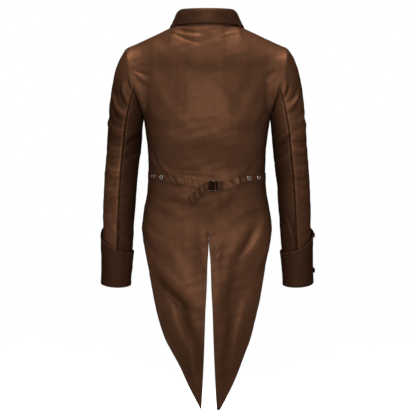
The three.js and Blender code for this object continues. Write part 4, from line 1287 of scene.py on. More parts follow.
def coat_material(name):
    """One of the coat's finishes, or the stage's, made once in the colour that the user set."""
    if name not in materials:
        colours = bpy.context.scene.coat_colours
        recipes = {
            "coat": (cloth_material, "Coat twill", colours.cloth, CLOTH_ROUGH, WEAVE_CONTRAST, 0.0),
            "facing": (
                cloth_material, "Facing twill", colours.facing, CLOTH_ROUGH, WEAVE_CONTRAST, 0.3
            ),
            "dark": (metal_material, "Dark metal", colours.metal, DARK_METAL_WORN, 0.3),
            "eyelet": (metal_material, "Eyelet metal", colours.eyelet, EYELET_WEAR_AND_GLINT, 0.24),
            "thread": (thread_material, "Thread", colours.thread),
            "paper": (backdrop_material, "Pale paper", PAPER),
        }
        make, title, colour, *finish = recipes[name]
        materials[name] = make(title, tuple(colour), *finish)
    return materials[name]


# Settings

def length_setting(name, description, default, low, high):
    """A size that the user can change, in metres."""
    return FloatProperty(
        name=name,
        description=description,
        default=default,
        min=low,
        max=high,
        unit="LENGTH",
    )


def colour_setting(name, description, default):
    """A colour that the user can change."""
    return FloatVectorProperty(
        name=name,
        description=description,
        default=default,
        size=3,
        min=0.0,
        max=1.0,
        subtype="COLOR",
    )


class CoatSizes(bpy.types.PropertyGroup):
    cloth: length_setting(
        "Cloth Thickness", "Thickness of the coat's cloth shells", 0.0014, 0.0005, 0.003
    )
    crease: FloatProperty(
        name="Crease Depth",
        description="How strongly the creases lift the cloth, where 1 is as made",
        default=1.0,
        min=0.0,
        max=2.0,
        subtype="FACTOR",
    )
    stitch: length_setting(
        "Stitch Length", "Distance from one stitch to the next", 0.0028, 0.0015, 0.008
    )
    thread: length_setting(
        "Thread Thickness", "Thickness of the sewing thread", 0.0005, 0.0002, 0.002
    )


class CoatColours(bpy.types.PropertyGroup):
    cloth: colour_setting("Coat Cloth", "Colour of the coat's cloth", (0.0292, 0.0126, 0.0066))
    facing: colour_setting(
        "Facing Cloth", "Colour of the collar, cuffs and belt", (0.0178, 0.0077, 0.0041)
    )
    metal: colour_setting("Dark Metal", "Colour of the buckle and buttons", (0.012, 0.01, 0.009))
    eyelet: colour_setting("Eyelet Metal", "Colour of the eyelets", (0.16, 0.135, 0.12))
    thread: colour_setting("Thread", "Colour of the sewing thread", (0.02, 0.009, 0.005))


def cloth_thickness():
    """The user's cloth thickness in millimetres."""
    return bpy.context.scene.coat_sizes.cloth * 1000


def crease_depth():
    """The user's share of the creases' full height."""
    return bpy.context.scene.coat_sizes.crease


stitch_runs = []


# Backs

def back_grid():
    """Places over a back, closer together at its side edges."""
    levels = np.concatenate(
        [
            np.linspace(1, 0, 70)[:-1],
            np.linspace(0, -1, 84)[:-1],
            lerp(-1, -2, np.linspace(0, 1, 120)),
        ]
    )
    return np.meshgrid(spread(84), levels)


def relax(points, across, level):
    """Lets the cloth of the yoke lie evenly instead of in grooves."""
    across = np.abs(across)
    below_neck = 1 - smooth(level, 0.84, 0.97)
    loose = smooth(across, 0.1, 0.28) * smooth(level, -0.04, 0.12)
    loose *= lerp(below_neck, 1, smooth(across, 0.5, 0.62))
    depth = points[..., 1]
    for _ in range(RELAX_ROUNDS):
        beside = depth[1:-1, 2:] + depth[1:-1, :-2]
        above_and_below = depth[2:, 1:-1] + depth[:-2, 1:-1]
        even = depth.copy()
        even[1:-1, 1:-1] = 0.35 * beside + 0.15 * above_and_below
        depth = lerp(depth, even, loose)
    points[..., 1] = depth


def back_points(side):
    """A back with its creases, its edges' distances and its painted shade; tails hang a little aside.
    """
    across, level = back_grid()
    points = back_base(across, level)
    relax(points, across, level)
    x = side * points[..., 0]
    z = points[..., 2]
    away = edge_distances(points)
    folds = crease_height(x, z, BACK_CREASES)
    below = smooth(-z, -HIP_Z - 10, -HIP_Z + 30)
    held = smooth(away["last"], 0, 14) * smooth(away["top"], 4, 16)
    held = lerp(held, smooth(away["top"], 0, 22), below)
    relief = (folds + undulation(x, z, height=1.1, seed=5)) * held * crease_depth()
    low = smooth(-z, 140, 200)
    seam = seam_dip(away["top"], 0.5) + seam_dip(away["last"], lerp(0.25, 0.9, low)) * (1 - below)
    seam += hem_ridge(away["last"]) * below + hem_ridge(away["first"], TAIL_HEM) * below
    seam += hem_ridge(away["bottom"], TAIL_HEM) * below
    # Painted shade and highlights: darker in the creases' hollows and paler on their ridges, darker
    # towards the tails' tips, the broad painted places of the back, darker along the armhole and side
    # seam, most below the arm, and darker along the tails' outer edges.
    shade = crease_shade(folds * held) * lerp(1, 0.62, smooth(-z, 690, 930))
    shade *= painted_light_spots(x, z)
    shade *= 1 - lerp(0.12, 0.5, low) * (1 - below) * near(away["last"], 2)
    shade *= 1 - 0.2 * below * near(away["last"], 3)
    points = points + grid_normals(points) * (relief + seam)[..., None]
    points[..., 0] -= side * lerp(sway_inner(z), sway_outer(z), across) * (level < 0)
    return points, away, shade


def offset_run(points, distances, distance, outward, along="rows", lift=0.35):
    """A line on the cloth at a set distance from one edge, for stitches."""
    normals = grid_normals(points) * outward
    lines = []
    if along == "columns":
        distances = distances.T
        points = points.transpose(1, 0, 2)
        normals = normals.transpose(1, 0, 2)
    for row, normal, away in zip(points, normals, distances):
        order = np.argsort(away)
        if away[order[-1]] < distance or away[order[0]] > distance:
            continue
        place = np.array([np.interp(distance, away[order], row[order, k]) for k in range(3)])
        facing = np.array([np.interp(distance, away[order], normal[order, k]) for k in range(3)])
        lines.append(place + facing * lift)
    return np.array(lines)


class TAILCOAT_OT_backs(bpy.types.Operator):
    """Make both backs, with their tails and centre vent"""

    bl_idname = "tailcoat.make_backs"
    bl_label = "Make Backs"

    def execute(self, context):
        for side, word in SIDES:
            points, away, shade = back_points(side)
            measure(f"back_{word}", points)
            free = ("bottom", "first", "last")
            name = f"back_{word}_cloth"
            thick = cloth_thickness()
            piece = shell(name, points, thick, 1, side, free, shade, free_below=HIP_Z - 20)
            finish_cloth(piece, "coat", [f"back_{word}"])
            tail = points[:, 0, 2] < HIP_Z - 6
            place = to_side(points, side)[tail]
            for edge in ("first", "last"):
                stitch_runs.append(offset_run(place, away[edge][tail], TAIL_HEM, side))
        return {"FINISHED"}


# Fronts

def front_edge(level):
    """How far across a front its lap reaches past the centre."""
    z = np.where(level > 0, CHEST_Z, lerp(CHEST_Z, FRONT_HEM_Z, -np.minimum(level, 0)))
    below = np.degrees(np.arcsin((FRONT_OVERLAP / body_side(z)) ** (body_square(z) / 2))) / 90
    neck = NECK_SHARE * math.degrees(math.asin(FRONT_OVERLAP / NECK_HALF)) / 90
    return np.where(level > 0, lerp(below, neck, np.maximum(level, 0)), below)


def front_base_points(across, level, side):
    """A front panel; negative places across lie past the centre, and the left one lies on top."""
    places = np.where(across < 0, across * front_edge(level) * LAP_COLUMNS, across)
    points = front_base(places, level)
    if side < 0:
        return points
    inside = np.clip(across, 0.02, 0.99)
    normal = surface_normal(front_base, inside, np.clip(level, -0.99, 0.99))
    normal[..., 0] = np.where(across < 0, -np.abs(normal[..., 0]), normal[..., 0])
    rise = OVERLAP_RISE * (1 - smooth(across * LAP_COLUMNS, 1, 3))
    return points + normal * rise[..., None]


def front_points(side):
    """A front with its creases, its edges' distances and its painted shade."""
    levels = np.concatenate([np.linspace(1, 0, 70)[:-1], np.linspace(0, -1, 70)])
    places = np.concatenate([np.linspace(-1 / LAP_COLUMNS, 0, 8)[:-1], spread(80)])
    across, level = np.meshgrid(places, levels)
    points = front_base_points(across, level, side)
    relax(points, across, level)
    x = side * points[..., 0]
    z = points[..., 2]
    away = edge_distances(points)
    folds = crease_height(x, z, FRONT_CREASES)
    held = smooth(away["last"], 0, 26) * smooth(away["top"], 0, 22)
    held = held * smooth(away["first"], 14, 40)
    relief = (folds + undulation(x, z, height=0.9, seed=8)) * held * crease_depth()
    trim = seam_dip(away["top"], 0.6) + seam_dip(away["last"], 0.5)
    trim += hem_ridge(away["bottom"]) + hem_ridge(away["first"], FRONT_EDGE_HEM)
    # Painted shade in the creases' hollows and painted highlight on their ridges, and painted shade
    # along the armhole and side seam.
    shade = crease_shade(folds * held) * (1 - 0.35 * near(away["last"], 2))
    return points - grid_normals(points) * (relief + trim)[..., None], away, shade


class TAILCOAT_OT_fronts(bpy.types.Operator):
    """Make both fronts, the left one lapped over the right one"""

    bl_idname = "tailcoat.make_fronts"
    bl_label = "Make Fronts"

    def execute(self, context):
        for side, word in SIDES:
            points, away, shade = front_points(side)
            measure(f"front_{word}", points)
            free = ("first", "bottom")
            piece = shell(f"front_{word}_cloth", points, cloth_thickness(), -1, side, free, shade)
            finish_cloth(piece, "coat", [f"front_{word}"])
            place = to_side(points, side)
            hem = offset_run(place, away["bottom"], PLAIN_HEM - 1.5, -side, "columns")
            stitch_runs.append(hem)
            stitch_runs.append(offset_run(place, away["first"], FRONT_EDGE_HEM - 0.5, -side))
        return {"FINISHED"}


# Sleeves

def sleeve_points(low, high, count, side):
    """A piece of a sleeve from one seam's turn to the other's, with its creases and painted shade."""
    downs = np.concatenate([np.linspace(0, 1, 56)[:-1], np.linspace(1, 2, 110)])
    turn, down = np.meshgrid(spread(count, low, high), downs)
    points = sleeve_base(turn, down)
    z = points[..., 2]
    girth = (sleeve_wide(z) + sleeve_deep(z)) / 2
    folds = np.zeros(turn.shape)
    chosen = SLEEVE_CREASES["side"] == side
    table = {key: values[chosen] for key, values in SLEEVE_CREASES.items()}
    for i in range(len(table["z"])):
        away = np.mod(turn - table["turn"][i] + 180, 360) - 180
        row = {key: values[i : i + 1] for key, values in table.items()}
        row["x"] = np.zeros(1)
        folds += crease_height(-np.radians(away) * girth, z, row)
    away = edge_distances(points)
    clear = smooth(away["top"], 0, 26)
    folds *= clear
    wave = undulation(np.radians(turn) * 50, z, height=1.0, seed=11 + side) * clear
    dip = seam_dip(away["first"], 1.6, 1.8) + seam_dip(away["last"], 1.6, 1.8)
    down = -z
    below = smooth(down, 140, 200)
    dip += seam_dip(away["top"], lerp(0.25, 0.8, below))
    # Painted shade and highlight on the creases, painted shade in the seams' grooves, and painted
    # shade along the armhole seam, most under the arm.
    shade = crease_shade(folds)
    for edge in ("first", "last"):
        shade *= 1 - 0.7 * near(away[edge], 1.7)
    shade *= 1 - lerp(0.12, 0.6, below) * near(away["top"], 2)
    # Painted light and shade down the arm: the left sleeve darker at the shoulder and paler from the
    # elbow down, the right one paler from the upper arm and a little darker again lower.
    if side > 0:
        lower_arm_painted_light = 1.4 if low == BACK_SEAM_TURN else 1.9
        shade *= lerp(1, 0.72, smooth(down, 110, 190)) * lerp(1, lower_arm_painted_light, smooth(down, 280, 400))
    else:
        shade *= lerp(1, 1.16, smooth(down, 150, 220)) * lerp(1, 0.88, smooth(down, 320, 400))
    # On the under piece: painted shade in the vent's groove, and painted shade where the under sleeve
    # faces the body, most at mid arm.
    if low == BACK_SEAM_TURN:
        slit = near(away["first"] - 5.5, 1.2) * smooth(down, 522, 530)
        dip -= 0.8 * slit
        underarm_painted_shade = lerp(0.86, UNDER_SHADE, smooth(down, 220, 320))
        shade *= lerp(underarm_painted_shade, 0.6, smooth(down, 400, 460)) * (1 - 0.55 * slit)
    relief = (folds + wave) * crease_depth() + dip
    return points - grid_normals(points) * relief[..., None], shade


class TAILCOAT_OT_sleeves(bpy.types.Operator):
    """Make the upper and under piece of both sleeves"""

    bl_idname = "tailcoat.make_sleeves"
    bl_label = "Make Sleeves"

    def execute(self, context):
        parts = (
            ("upper", FRONT_SEAM_TURN - 360, BACK_SEAM_TURN, 112, (0.36, 0.65, 0.121)),
            ("under", BACK_SEAM_TURN, FRONT_SEAM_TURN, 60, (0.18, 0.54, 0.057)),
        )
        for side, word in SIDES:
            for part, low, high, count, cut in parts:
                points, shade = sleeve_points(low, high, count, side)
                name = f"sleeve_{part}_{word}"
                measure(name, points)
                piece = shell(f"{name}_cloth", points, cloth_thickness(), -1, side, (), shade)
                finish_cloth(piece, "coat", [name])
        return {"FINISHED"}


# Cuffs

def cuff_points(side, word):
    """A cuff's band, which laps over itself, with its seam, its hems, its slow waves and its painted
    shade and highlight.
    """
    start = CUFF_LAP_START - CUFF_FORWARD[word]
    end = CUFF_LAP_END - CUFF_FORWARD[word]
    turn, up = np.meshgrid(spread(116, start, end), spread(40))
    points = cuff_base(turn, up, word)
    away = edge_distances(points)
    wave = undulation(np.radians(turn) * 50, up * 110, height=0.8, seed=21 + side)
    droop = 1.4 * np.sin(np.radians(turn * 2 + 30 * side)) * up**2
    relief = wave * smooth(up, 0, 0.2) + droop * crease_depth()
    hems = hem_ridge(away["top"], CUFF_TOP_HEM) + hem_ridge(away["bottom"], CUFF_HEM)
    hems += hem_ridge(away["first"], CUFF_HEM)
    seam = near(np.radians(turn - 90 - 2 * side) * 46, 1.1)
    hems -= 0.5 * seam
    # Painted shade in the seam's groove and along both hems' stitching, and a painted highlight along
    # the top edge.
    shade = (1 - 0.3 * seam) * (1 + 0.6 * near(away["bottom"] - 1, 1.6))
    shade -= 0.3 * near(away["bottom"] - 7, 1.5)
    shade -= 0.25 * near(away["top"] - 6, 1.2)
    return points + grid_normals(points) * (relief + hems)[..., None], away, shade


class TAILCOAT_OT_cuffs(bpy.types.Operator):
    """Make both turned-back cuffs"""

    bl_idname = "tailcoat.make_cuffs"
    bl_label = "Make Cuffs"

    def execute(self, context):
        for side, word in SIDES:
            points, away, shade = cuff_points(side, word)
            measure(f"cuff_{word}", points)
            name = f"cuff_{word}_cloth"
            piece = shell(name, points, STIFF_SHELL, 1, side, ALL_EDGES, shade)
            finish_cloth(piece, "facing", [f"cuff_{word}"])
            place = to_side(points, side)
            for edge, hem in (("top", CUFF_TOP_HEM), ("bottom", CUFF_HEM)):
                stitch_runs.append(offset_run(place, away[edge], hem - 1, side, "columns"))
        return {"FINISHED"}


# Collar

class TAILCOAT_OT_collar(bpy.types.Operator):
    """Make the collar's stand and its turned-down fall"""

    bl_idname = "tailcoat.make_collar"
    bl_label = "Make Collar"

    def execute(self, context):
        turn, up = np.meshgrid(np.linspace(-179.6, 179.6, 150), np.linspace(0, 1, 12))
        points = stand_base(turn, up)
        measure("collar_stand", points)
        stand = shell("collar_stand_cloth", points, STIFF_SHELL, -1, 1, ALL_EDGES)
        finish_cloth(stand, "facing", ["collar_stand"])
        turns = spread(200, -COLLAR_END_TURN, COLLAR_END_TURN)
        turn, down = np.meshgrid(turns, spread(40))
        points = fall_base(turn, down)
        away = edge_distances(points)
        wave = undulation(turn, down * 50, height=0.5, seed=31) * smooth(down, 0.1, 0.6)
        ridges = hem_ridge(away["bottom"], COLLAR_HEM)
        for end in ("first", "last"):
            ridges += hem_ridge(away[end], COLLAR_END_HEM)
        points = points + grid_normals(points) * (wave + ridges)[..., None]
        measure("collar_fall", points)
        stitched = COLLAR_HEM - 1.5
        # A painted shadow along the fall's free edge, and painted shade along its stitching.
        shade = 1.0 - 0.35 * near(away["bottom"], 1.6)
        shade -= 0.2 * near(away["bottom"] - stitched, 1.2)
        fall = shell("collar_fall_cloth", points, STIFF_SHELL, 1, 1, ALL_EDGES, shade)
        finish_cloth(fall, "facing", ["collar_fall"])
        stitch_runs.append(offset_run(points, away["bottom"], stitched, 1, "columns"))
        return {"FINISHED"}


# Half belt

def even_rows(table):
    """A strap's rows set a millimetre or two apart along the back."""
    keys = ("z", "lift", "tilt")
    x = np.linspace(table["x"][0], table["x"][-1], 400)
    values = {key: curve(table, "x", key)(x) for key in keys}
    place, _ = on_back(x, values["z"], values["lift"])
    length = np.concatenate([[0], np.cumsum(np.linalg.norm(np.diff(place, axis=0), axis=1))])
    marks = np.linspace(0, length[-1], int(length[-1] / 1.6))
    rows = {key: np.interp(marks, length, value) for key, value in values.items()}
    rows["x"] = np.interp(marks, length, x)
    return rows


def strap_rows(towards, bar_x, end):
    """A strap's rows: along the back to its bar, round the bar, and back to its free end."""
    angle = np.radians(np.linspace(-90, 90, 14))
    bend = {
        "x": bar_x - BEND_RADIUS * np.cos(angle),
        "z": np.full(14, BUCKLE["z"]),
        "lift": BAR_LIFT + BEND_RADIUS * np.sin(angle),
        "tilt": np.zeros(14),
    }
    first = even_rows(towards)
    last = {key: smooth_run(end[key]) for key in ("x", "z", "lift", "tilt")}
    rows = {key: np.concatenate([first[key], bend[key], last[key]]) for key in bend}
    rows["loose"] = np.concatenate([np.zeros(len(first["x"])), np.ones(14 + len(last["x"]))])
    return rows


def smooth_run(values, fine=9):
    """A finer run of values that passes through the given ones."""
    at = np.arange(len(values), dtype=float)
    table = {"at": at, "value": values}
    return curve(table, "at", "value")(np.linspace(0, at[-1], fine * (len(values) - 1) + 1))


def strap_points(rows, side):
    """A strap laid on the back, with its puckers and its painted shade, and a painted shadow inside
    the buckle.
    """
    across, i = np.meshgrid(
        spread(15, STRAP_WIDTH / 2, -STRAP_WIDTH / 2), np.arange(len(rows["x"]))
    )
    tilt = np.radians(rows["tilt"][i])
    x = rows["x"][i] + across * np.sin(tilt)
    z = rows["z"][i] + across * np.cos(tilt)
    puckers = BELT_PUCKERS if side > 0 else BELT_TWIST
    folds = crease_height(x, across, puckers)
    loose = rows["loose"][i] * smooth(np.abs(side * x - BUCKLE["x"]), 12, 20)
    folds += loose * 0.7 * np.sin(i * 0.62 + across * 0.16)
    point, _ = on_back(side * x, z, rows["lift"][i] + folds)
    point[..., 0] *= side
    edge = STRAP_WIDTH / 2 - np.abs(across)
    # Painted shade and highlight on the puckers, a painted shadow inside the buckle, the loose end
    # darker, and darker along a line 3 mm in from each edge.
    shade = STRAP_SHADE * np.clip(1 + 0.35 * folds, 0.55, 1.4)
    in_buckle = 1 - smooth(np.abs(side * x - BUCKLE["x"]), 11, 15)
    shade *= (1 - BUCKLE_SHADOW * in_buckle) * lerp(1, LOOSE_END_SHADE, rows["loose"][i])
    return point, shade * (1 - 0.2 * near(edge - 3, 0.9))


def punch_holes(piece, side):
    """Cuts a round hole through a strap under each of its eyelets."""
    for _, where, x, z, _ in EYELETS:
        if where != side:
            continue
        place, normal = on_back(np.array(side * x), np.array(z), 0.0)
        tool = bpy.data.meshes.new("punch")
        made = bmesh.new()
        bmesh.ops.create_cone(
            made,
            cap_ends=True,
            segments=32,
            radius1=EYELET_HOLE / 1000,
            radius2=EYELET_HOLE / 1000,
            depth=0.02,
        )
        turn = Vector(normal).to_track_quat("Z", "Y").to_matrix().to_4x4()
        made.transform(Matrix.Translation(Vector(place) / 1000) @ turn)
        made.to_mesh(tool)
        made.free()
        punch = bpy.data.objects.new("punch", tool)
        bpy.context.scene.collection.objects.link(punch)
        cut = piece.modifiers.new("Punch", "BOOLEAN")
        cut.operation = "DIFFERENCE"
        cut.solver = "EXACT"
        cut.object = punch
        bake_modifiers(piece)
        bpy.data.objects.remove(punch)


def bake_modifiers(piece):
    """Turns a piece with its modifiers into a plain mesh."""
    depsgraph = bpy.context.evaluated_depsgraph_get()
    baked = bpy.data.meshes.new_from_object(piece.evaluated_get(depsgraph), depsgraph=depsgraph)
    piece.modifiers.clear()
    old = piece.data
    piece.data = baked
    bpy.data.meshes.remove(old)


class TAILCOAT_OT_belt(bpy.types.Operator):
    """Make both straps of the half belt"""

    bl_idname = "tailcoat.make_belt"
    bl_label = "Make Half Belt"

    def execute(self, context):
        outer_bar = -BUCKLE["x"] + (BUCKLE["width"] - BUCKLE["bar"]) / 2
        straps = (
            (1, "left", LEFT_STRAP, BUCKLE["x"], LEFT_STRAP_END, (0.31, 0.022)),
            (-1, "right", RIGHT_STRAP, outer_bar, RIGHT_STRAP_END, (0.2, 0.022)),
        )
        for side, word, towards, bar_x, end, flat in straps:
            points, shade = strap_points(strap_rows(towards, bar_x, end), side)
            measure(f"belt_{word}", points)
            name = f"belt_{word}_cloth"
            piece = shell(
                name, points, STRAP_SHELL, 1, side, ALL_EDGES, shade, turned_over=True
            )
            punch_holes(piece, side)
            finish_cloth(piece, "facing", [f"belt_{word}"])
            place = to_side(points, side)
            normals = grid_normals(place) * side
            for column in (2, -3):
                stitch_runs.append(place[:, column] + normals[:, column] * 0.3)
        return {"FINISHED"}


# Metal trim

def smooth_solid(solid):
    """Turns a solid's faces outwards and shades them smoothly."""
    bmesh.ops.recalc_face_normals(solid, faces=solid.faces)
    for face in solid.faces:
        face.smooth = True


def lathe(profile, count):
    """A closed turned solid from a profile of radius and height."""
    turned = bmesh.new()
    rings = []
    for radius, height in profile:
        if radius < 1e-6:
            rings.append([turned.verts.new((0, 0, height / 1000))])
            continue
        ring = []
        for i in range(count):
            angle = math.tau * i / count
            at = (radius * math.cos(angle) / 1000, radius * math.sin(angle) / 1000)
            ring.append(turned.verts.new((*at, height / 1000)))
        rings.append(ring)
    closed = len(rings[0]) > 1 and len(rings[-1]) > 1
    pairs = list(zip(rings, rings[1:] + rings[:1] if closed else rings[1:]))
    for lower, upper in pairs:
        for i in range(count):
            j = (i + 1) % count
            corners = []
            for ring, k in ((lower, i), (lower, j), (upper, j), (upper, i)):
                corner = ring[k] if len(ring) > 1 else ring[0]
                if corner not in corners:
                    corners.append(corner)
            if len(corners) > 2:
                turned.faces.new(corners)
    smooth_solid(turned)
    return turned


GEOMETRY = "NodeSocketGeometry"
MATERIAL = "NodeSocketMaterial"


def geometry_tree(name, inputs, output):
    """An empty tree of geometry nodes with named inputs and one output."""
    tree = bpy.data.node_groups.new(name, "GeometryNodeTree")
    for socket, kind in inputs:
        tree.interface.new_socket(socket, in_out="INPUT", socket_type=kind)
    tree.interface.new_socket(output, in_out="OUTPUT", socket_type=GEOMETRY)
    return tree


def trim_tree():
    """Geometry nodes that set one shape on every point, facing the way that the point faces."""
    inputs = (("Points", GEOMETRY), ("Shape", "NodeSocketObject"), ("Finish", MATERIAL))
    tree = geometry_tree("Set trim on points", inputs, "Trim")
    add = tree.nodes.new
    given, made = add("NodeGroupInput"), add("NodeGroupOutput")
    shape = add("GeometryNodeObjectInfo")
    facing = add("GeometryNodeInputNamedAttribute")
    facing.data_type = "FLOAT_VECTOR"
    facing.inputs["Name"].default_value = "facing"
    turn = add("FunctionNodeAlignRotationToVector")
    turn.axis = "Z"
    setting = add("GeometryNodeInstanceOnPoints")
    real = add("GeometryNodeRealizeInstances")
    finish = add("GeometryNodeSetMaterial")
    wires = (
        (given.outputs["Shape"], shape.inputs["Object"]),
        (given.outputs["Points"], setting.inputs["Points"]),
        (shape.outputs["Geometry"], setting.inputs["Instance"]),
        (facing.outputs["Attribute"], turn.inputs["Vector"]),
        (turn.outputs["Rotation"], setting.inputs["Rotation"]),
        (setting.outputs["Instances"], real.inputs["Geometry"]),
        (real.outputs["Geometry"], finish.inputs["Geometry"]),
        (given.outputs["Finish"], finish.inputs["Material"]),
        (finish.outputs["Geometry"], made.inputs["Trim"]),
    )
    for start, end in wires:
        tree.links.new(start, end)
    return tree


def stitch_tree():
    """Geometry nodes that lay short rods of thread along every line of a mesh."""
    inputs = (
        ("Lines", GEOMETRY),
        ("Stitch Length", FLOAT),
        ("Thread Thickness", FLOAT),
        ("Finish", MATERIAL),
    )
    tree = geometry_tree("Run of stitches", inputs, "Stitches")
    add = tree.nodes.new
    given, made = add("NodeGroupInput"), add("NodeGroupOutput")
    lines = add("GeometryNodeMeshToCurve")
    evenly = add("GeometryNodeResampleCurve")
    evenly.mode = "LENGTH"
    tangent = add("GeometryNodeInputTangent")
    turn = add("FunctionNodeAlignRotationToVector")
    turn.axis = "Z"
    rod = add("GeometryNodeMeshCylinder")
    rod.inputs["Vertices"].default_value = 6
    radius = add("ShaderNodeMath")
    radius.operation = "MULTIPLY"
    radius.inputs[1].default_value = 0.5
    depth = add("ShaderNodeMath")
    depth.operation = "MULTIPLY"
    depth.inputs[1].default_value = 0.72
    setting = add("GeometryNodeInstanceOnPoints")
    real = add("GeometryNodeRealizeInstances")
    finish = add("GeometryNodeSetMaterial")
    wires = (
        (given.outputs["Lines"], lines.inputs["Mesh"]),
        (lines.outputs["Curve"], evenly.inputs["Curve"]),
        (given.outputs["Stitch Length"], evenly.inputs["Length"]),
        (given.outputs["Thread Thickness"], radius.inputs[0]),
        (given.outputs["Stitch Length"], depth.inputs[0]),
        (radius.outputs[0], rod.inputs["Radius"]),
        (depth.outputs[0], rod.inputs["Depth"]),
        (evenly.outputs["Curve"], setting.inputs["Points"]),
        (rod.outputs["Mesh"], setting.inputs["Instance"]),
        (tangent.outputs["Tangent"], turn.inputs["Vector"]),
        (turn.outputs["Rotation"], setting.inputs["Rotation"]),
        (setting.outputs["Instances"], real.inputs["Geometry"]),
        (real.outputs["Geometry"], finish.inputs["Geometry"]),
        (given.outputs["Finish"], finish.inputs["Material"]),
        (finish.outputs["Geometry"], made.inputs["Stitches"]),
    )
    for start, end in wires:
        tree.links.new(start, end)
    return tree


def grow_nodes(name, source, tree, values):
    """Runs a node tree on a mesh and returns the result as a plain piece."""
    carrier = bpy.data.objects.new(name, source)
    bpy.context.scene.collection.objects.link(carrier)
    modifier = carrier.modifiers.new("Nodes", "NODES")
    modifier.node_group = tree
    for item in tree.interface.items_tree:
        if item.in_out == "INPUT" and item.name in values:
            modifier[item.identifier] = values[item.name]
    bake_modifiers(carrier)
    if len(carrier.data.polygons) == 0:
        raise RuntimeError(f"{name} came out empty")
    return carrier


def set_trim(name, places, facings, shape, finish, nodes):
    """Sets a turned shape at each place and binds the result to the frame."""
    source = bpy.data.meshes.new(name)
    source.from_pydata((np.array(places) / 1000).tolist(), [], [])
    facing = source.attributes.new("facing", "FLOAT_VECTOR", "POINT")
    facing.data.foreach_set("vector", np.array(facings, np.float32).ravel())
    mesh = bpy.data.meshes.new(f"{name}_shape")
    shape.to_mesh(mesh)
    shape.free()
    model = bpy.data.objects.new(f"{name}_shape", mesh)
    bpy.context.scene.collection.objects.link(model)
    values = {"Shape": model, "Finish": coat_material(finish)}
    piece = grow_nodes(name, source, trim_tree(), values)
    bpy.data.objects.remove(model)
    bind(piece, finish, *nodes)


class TAILCOAT_OT_eyelets(bpy.types.Operator):
    """Set the rolled metal eyelets in the belt"""

    bl_idname = "tailcoat.make_eyelets"
    bl_label = "Make Eyelets"

    def execute(self, context):
        places = []
        facings = []
        for _, side, x, z, lift in EYELETS:
            place, normal = on_back(np.array(side * x), np.array(z), np.array(lift + 0.35))
            places.append(place)
            facings.append(normal)
        nodes = [name for name, *_ in EYELETS]
        set_trim("eyelets", places, facings, lathe(EYELET_PROFILE, 28), "eyelet", nodes)
        return {"FINISHED"}


class TAILCOAT_OT_buckle(bpy.types.Operator):
    """Make the slide buckle with its rounded frame and bar"""

    bl_idname = "tailcoat.make_buckle"
    bl_label = "Make Buckle"

    def execute(self, context):
        wide = BUCKLE["width"] / 2 - BUCKLE_ROD
        high = BUCKLE["height"] / 2 - BUCKLE_ROD
        corner = BUCKLE["corner"]
        frame_line = []
        for right, up, start in ((1, -1, -90), (1, 1, 0), (-1, 1, 90), (-1, -1, 180)):
            for step in range(7):
                angle = math.radians(start + 15 * step)
                x = right * (wide - corner) + corner * math.cos(angle)
                z = up * (high - corner) + corner * math.sin(angle)
                frame_line.append((x, z))
        bar_line = [(0, -high), (0, -high / 2), (0, 0), (0, high / 2), (0, high)]
        solid = bmesh.new()
        sweep_rod(solid, frame_line, True, BUCKLE_ROD)
        sweep_rod(solid, bar_line, False, BUCKLE_BAR_ROD)
        middle = (np.array(BUCKLE["x"]), np.array(BUCKLE["z"]), np.array(BAR_LIFT))
        place, normal = on_back(*middle)
        facing = Vector(normal).normalized()
        across = Vector((1, 0, 0))
        across = (across - facing * facing.x).normalized()
        up = facing.cross(across)
        turn = Matrix((across, up, facing)).transposed().to_4x4()
        solid.transform(Matrix.Translation(Vector(place) / 1000) @ turn)
        mesh = bpy.data.meshes.new("slide_buckle")
        solid.to_mesh(mesh)
        solid.free()
        piece = bpy.data.objects.new("slide_buckle", mesh)
        context.scene.collection.objects.link(piece)
        piece.data.materials.append(coat_material("dark"))
        bind(piece, "dark", "buckle")
        return {"FINISHED"}


def sweep_rod(solid, line, closed, radius, sides=14):
    """Adds a round rod along a flat line of places across and up."""
    count = len(line)
    rings = []
    for i, (x, z) in enumerate(line):
        after = line[(i + 1) % count] if closed else line[min(i + 1, count - 1)]
        before = line[i - 1] if closed else line[max(i - 1, 0)]
        along = Vector((after[0] - before[0], after[1] - before[1], 0)).normalized()
        aside = Vector((along.y, -along.x, 0))
        ring = []
        for k in range(sides):
            angle = math.tau * k / sides
            offset = aside * math.cos(angle) + Vector((0, 0, math.sin(angle) * 0.82))
            ring.append(solid.verts.new((Vector((x, z, 0)) + offset * radius) / 1000))
        rings.append(ring)
    pairs = list(zip(rings, rings[1:]))
    if closed:
        pairs.append((rings[-1], rings[0]))
    else:
        solid.faces.new(rings[0])
        solid.faces.new(rings[-1])
    for lower, upper in pairs:
        for k in range(sides):
            m = (k + 1) % sides
            solid.faces.new((lower[k], lower[m], upper[m], upper[k]))
    smooth_solid(solid)


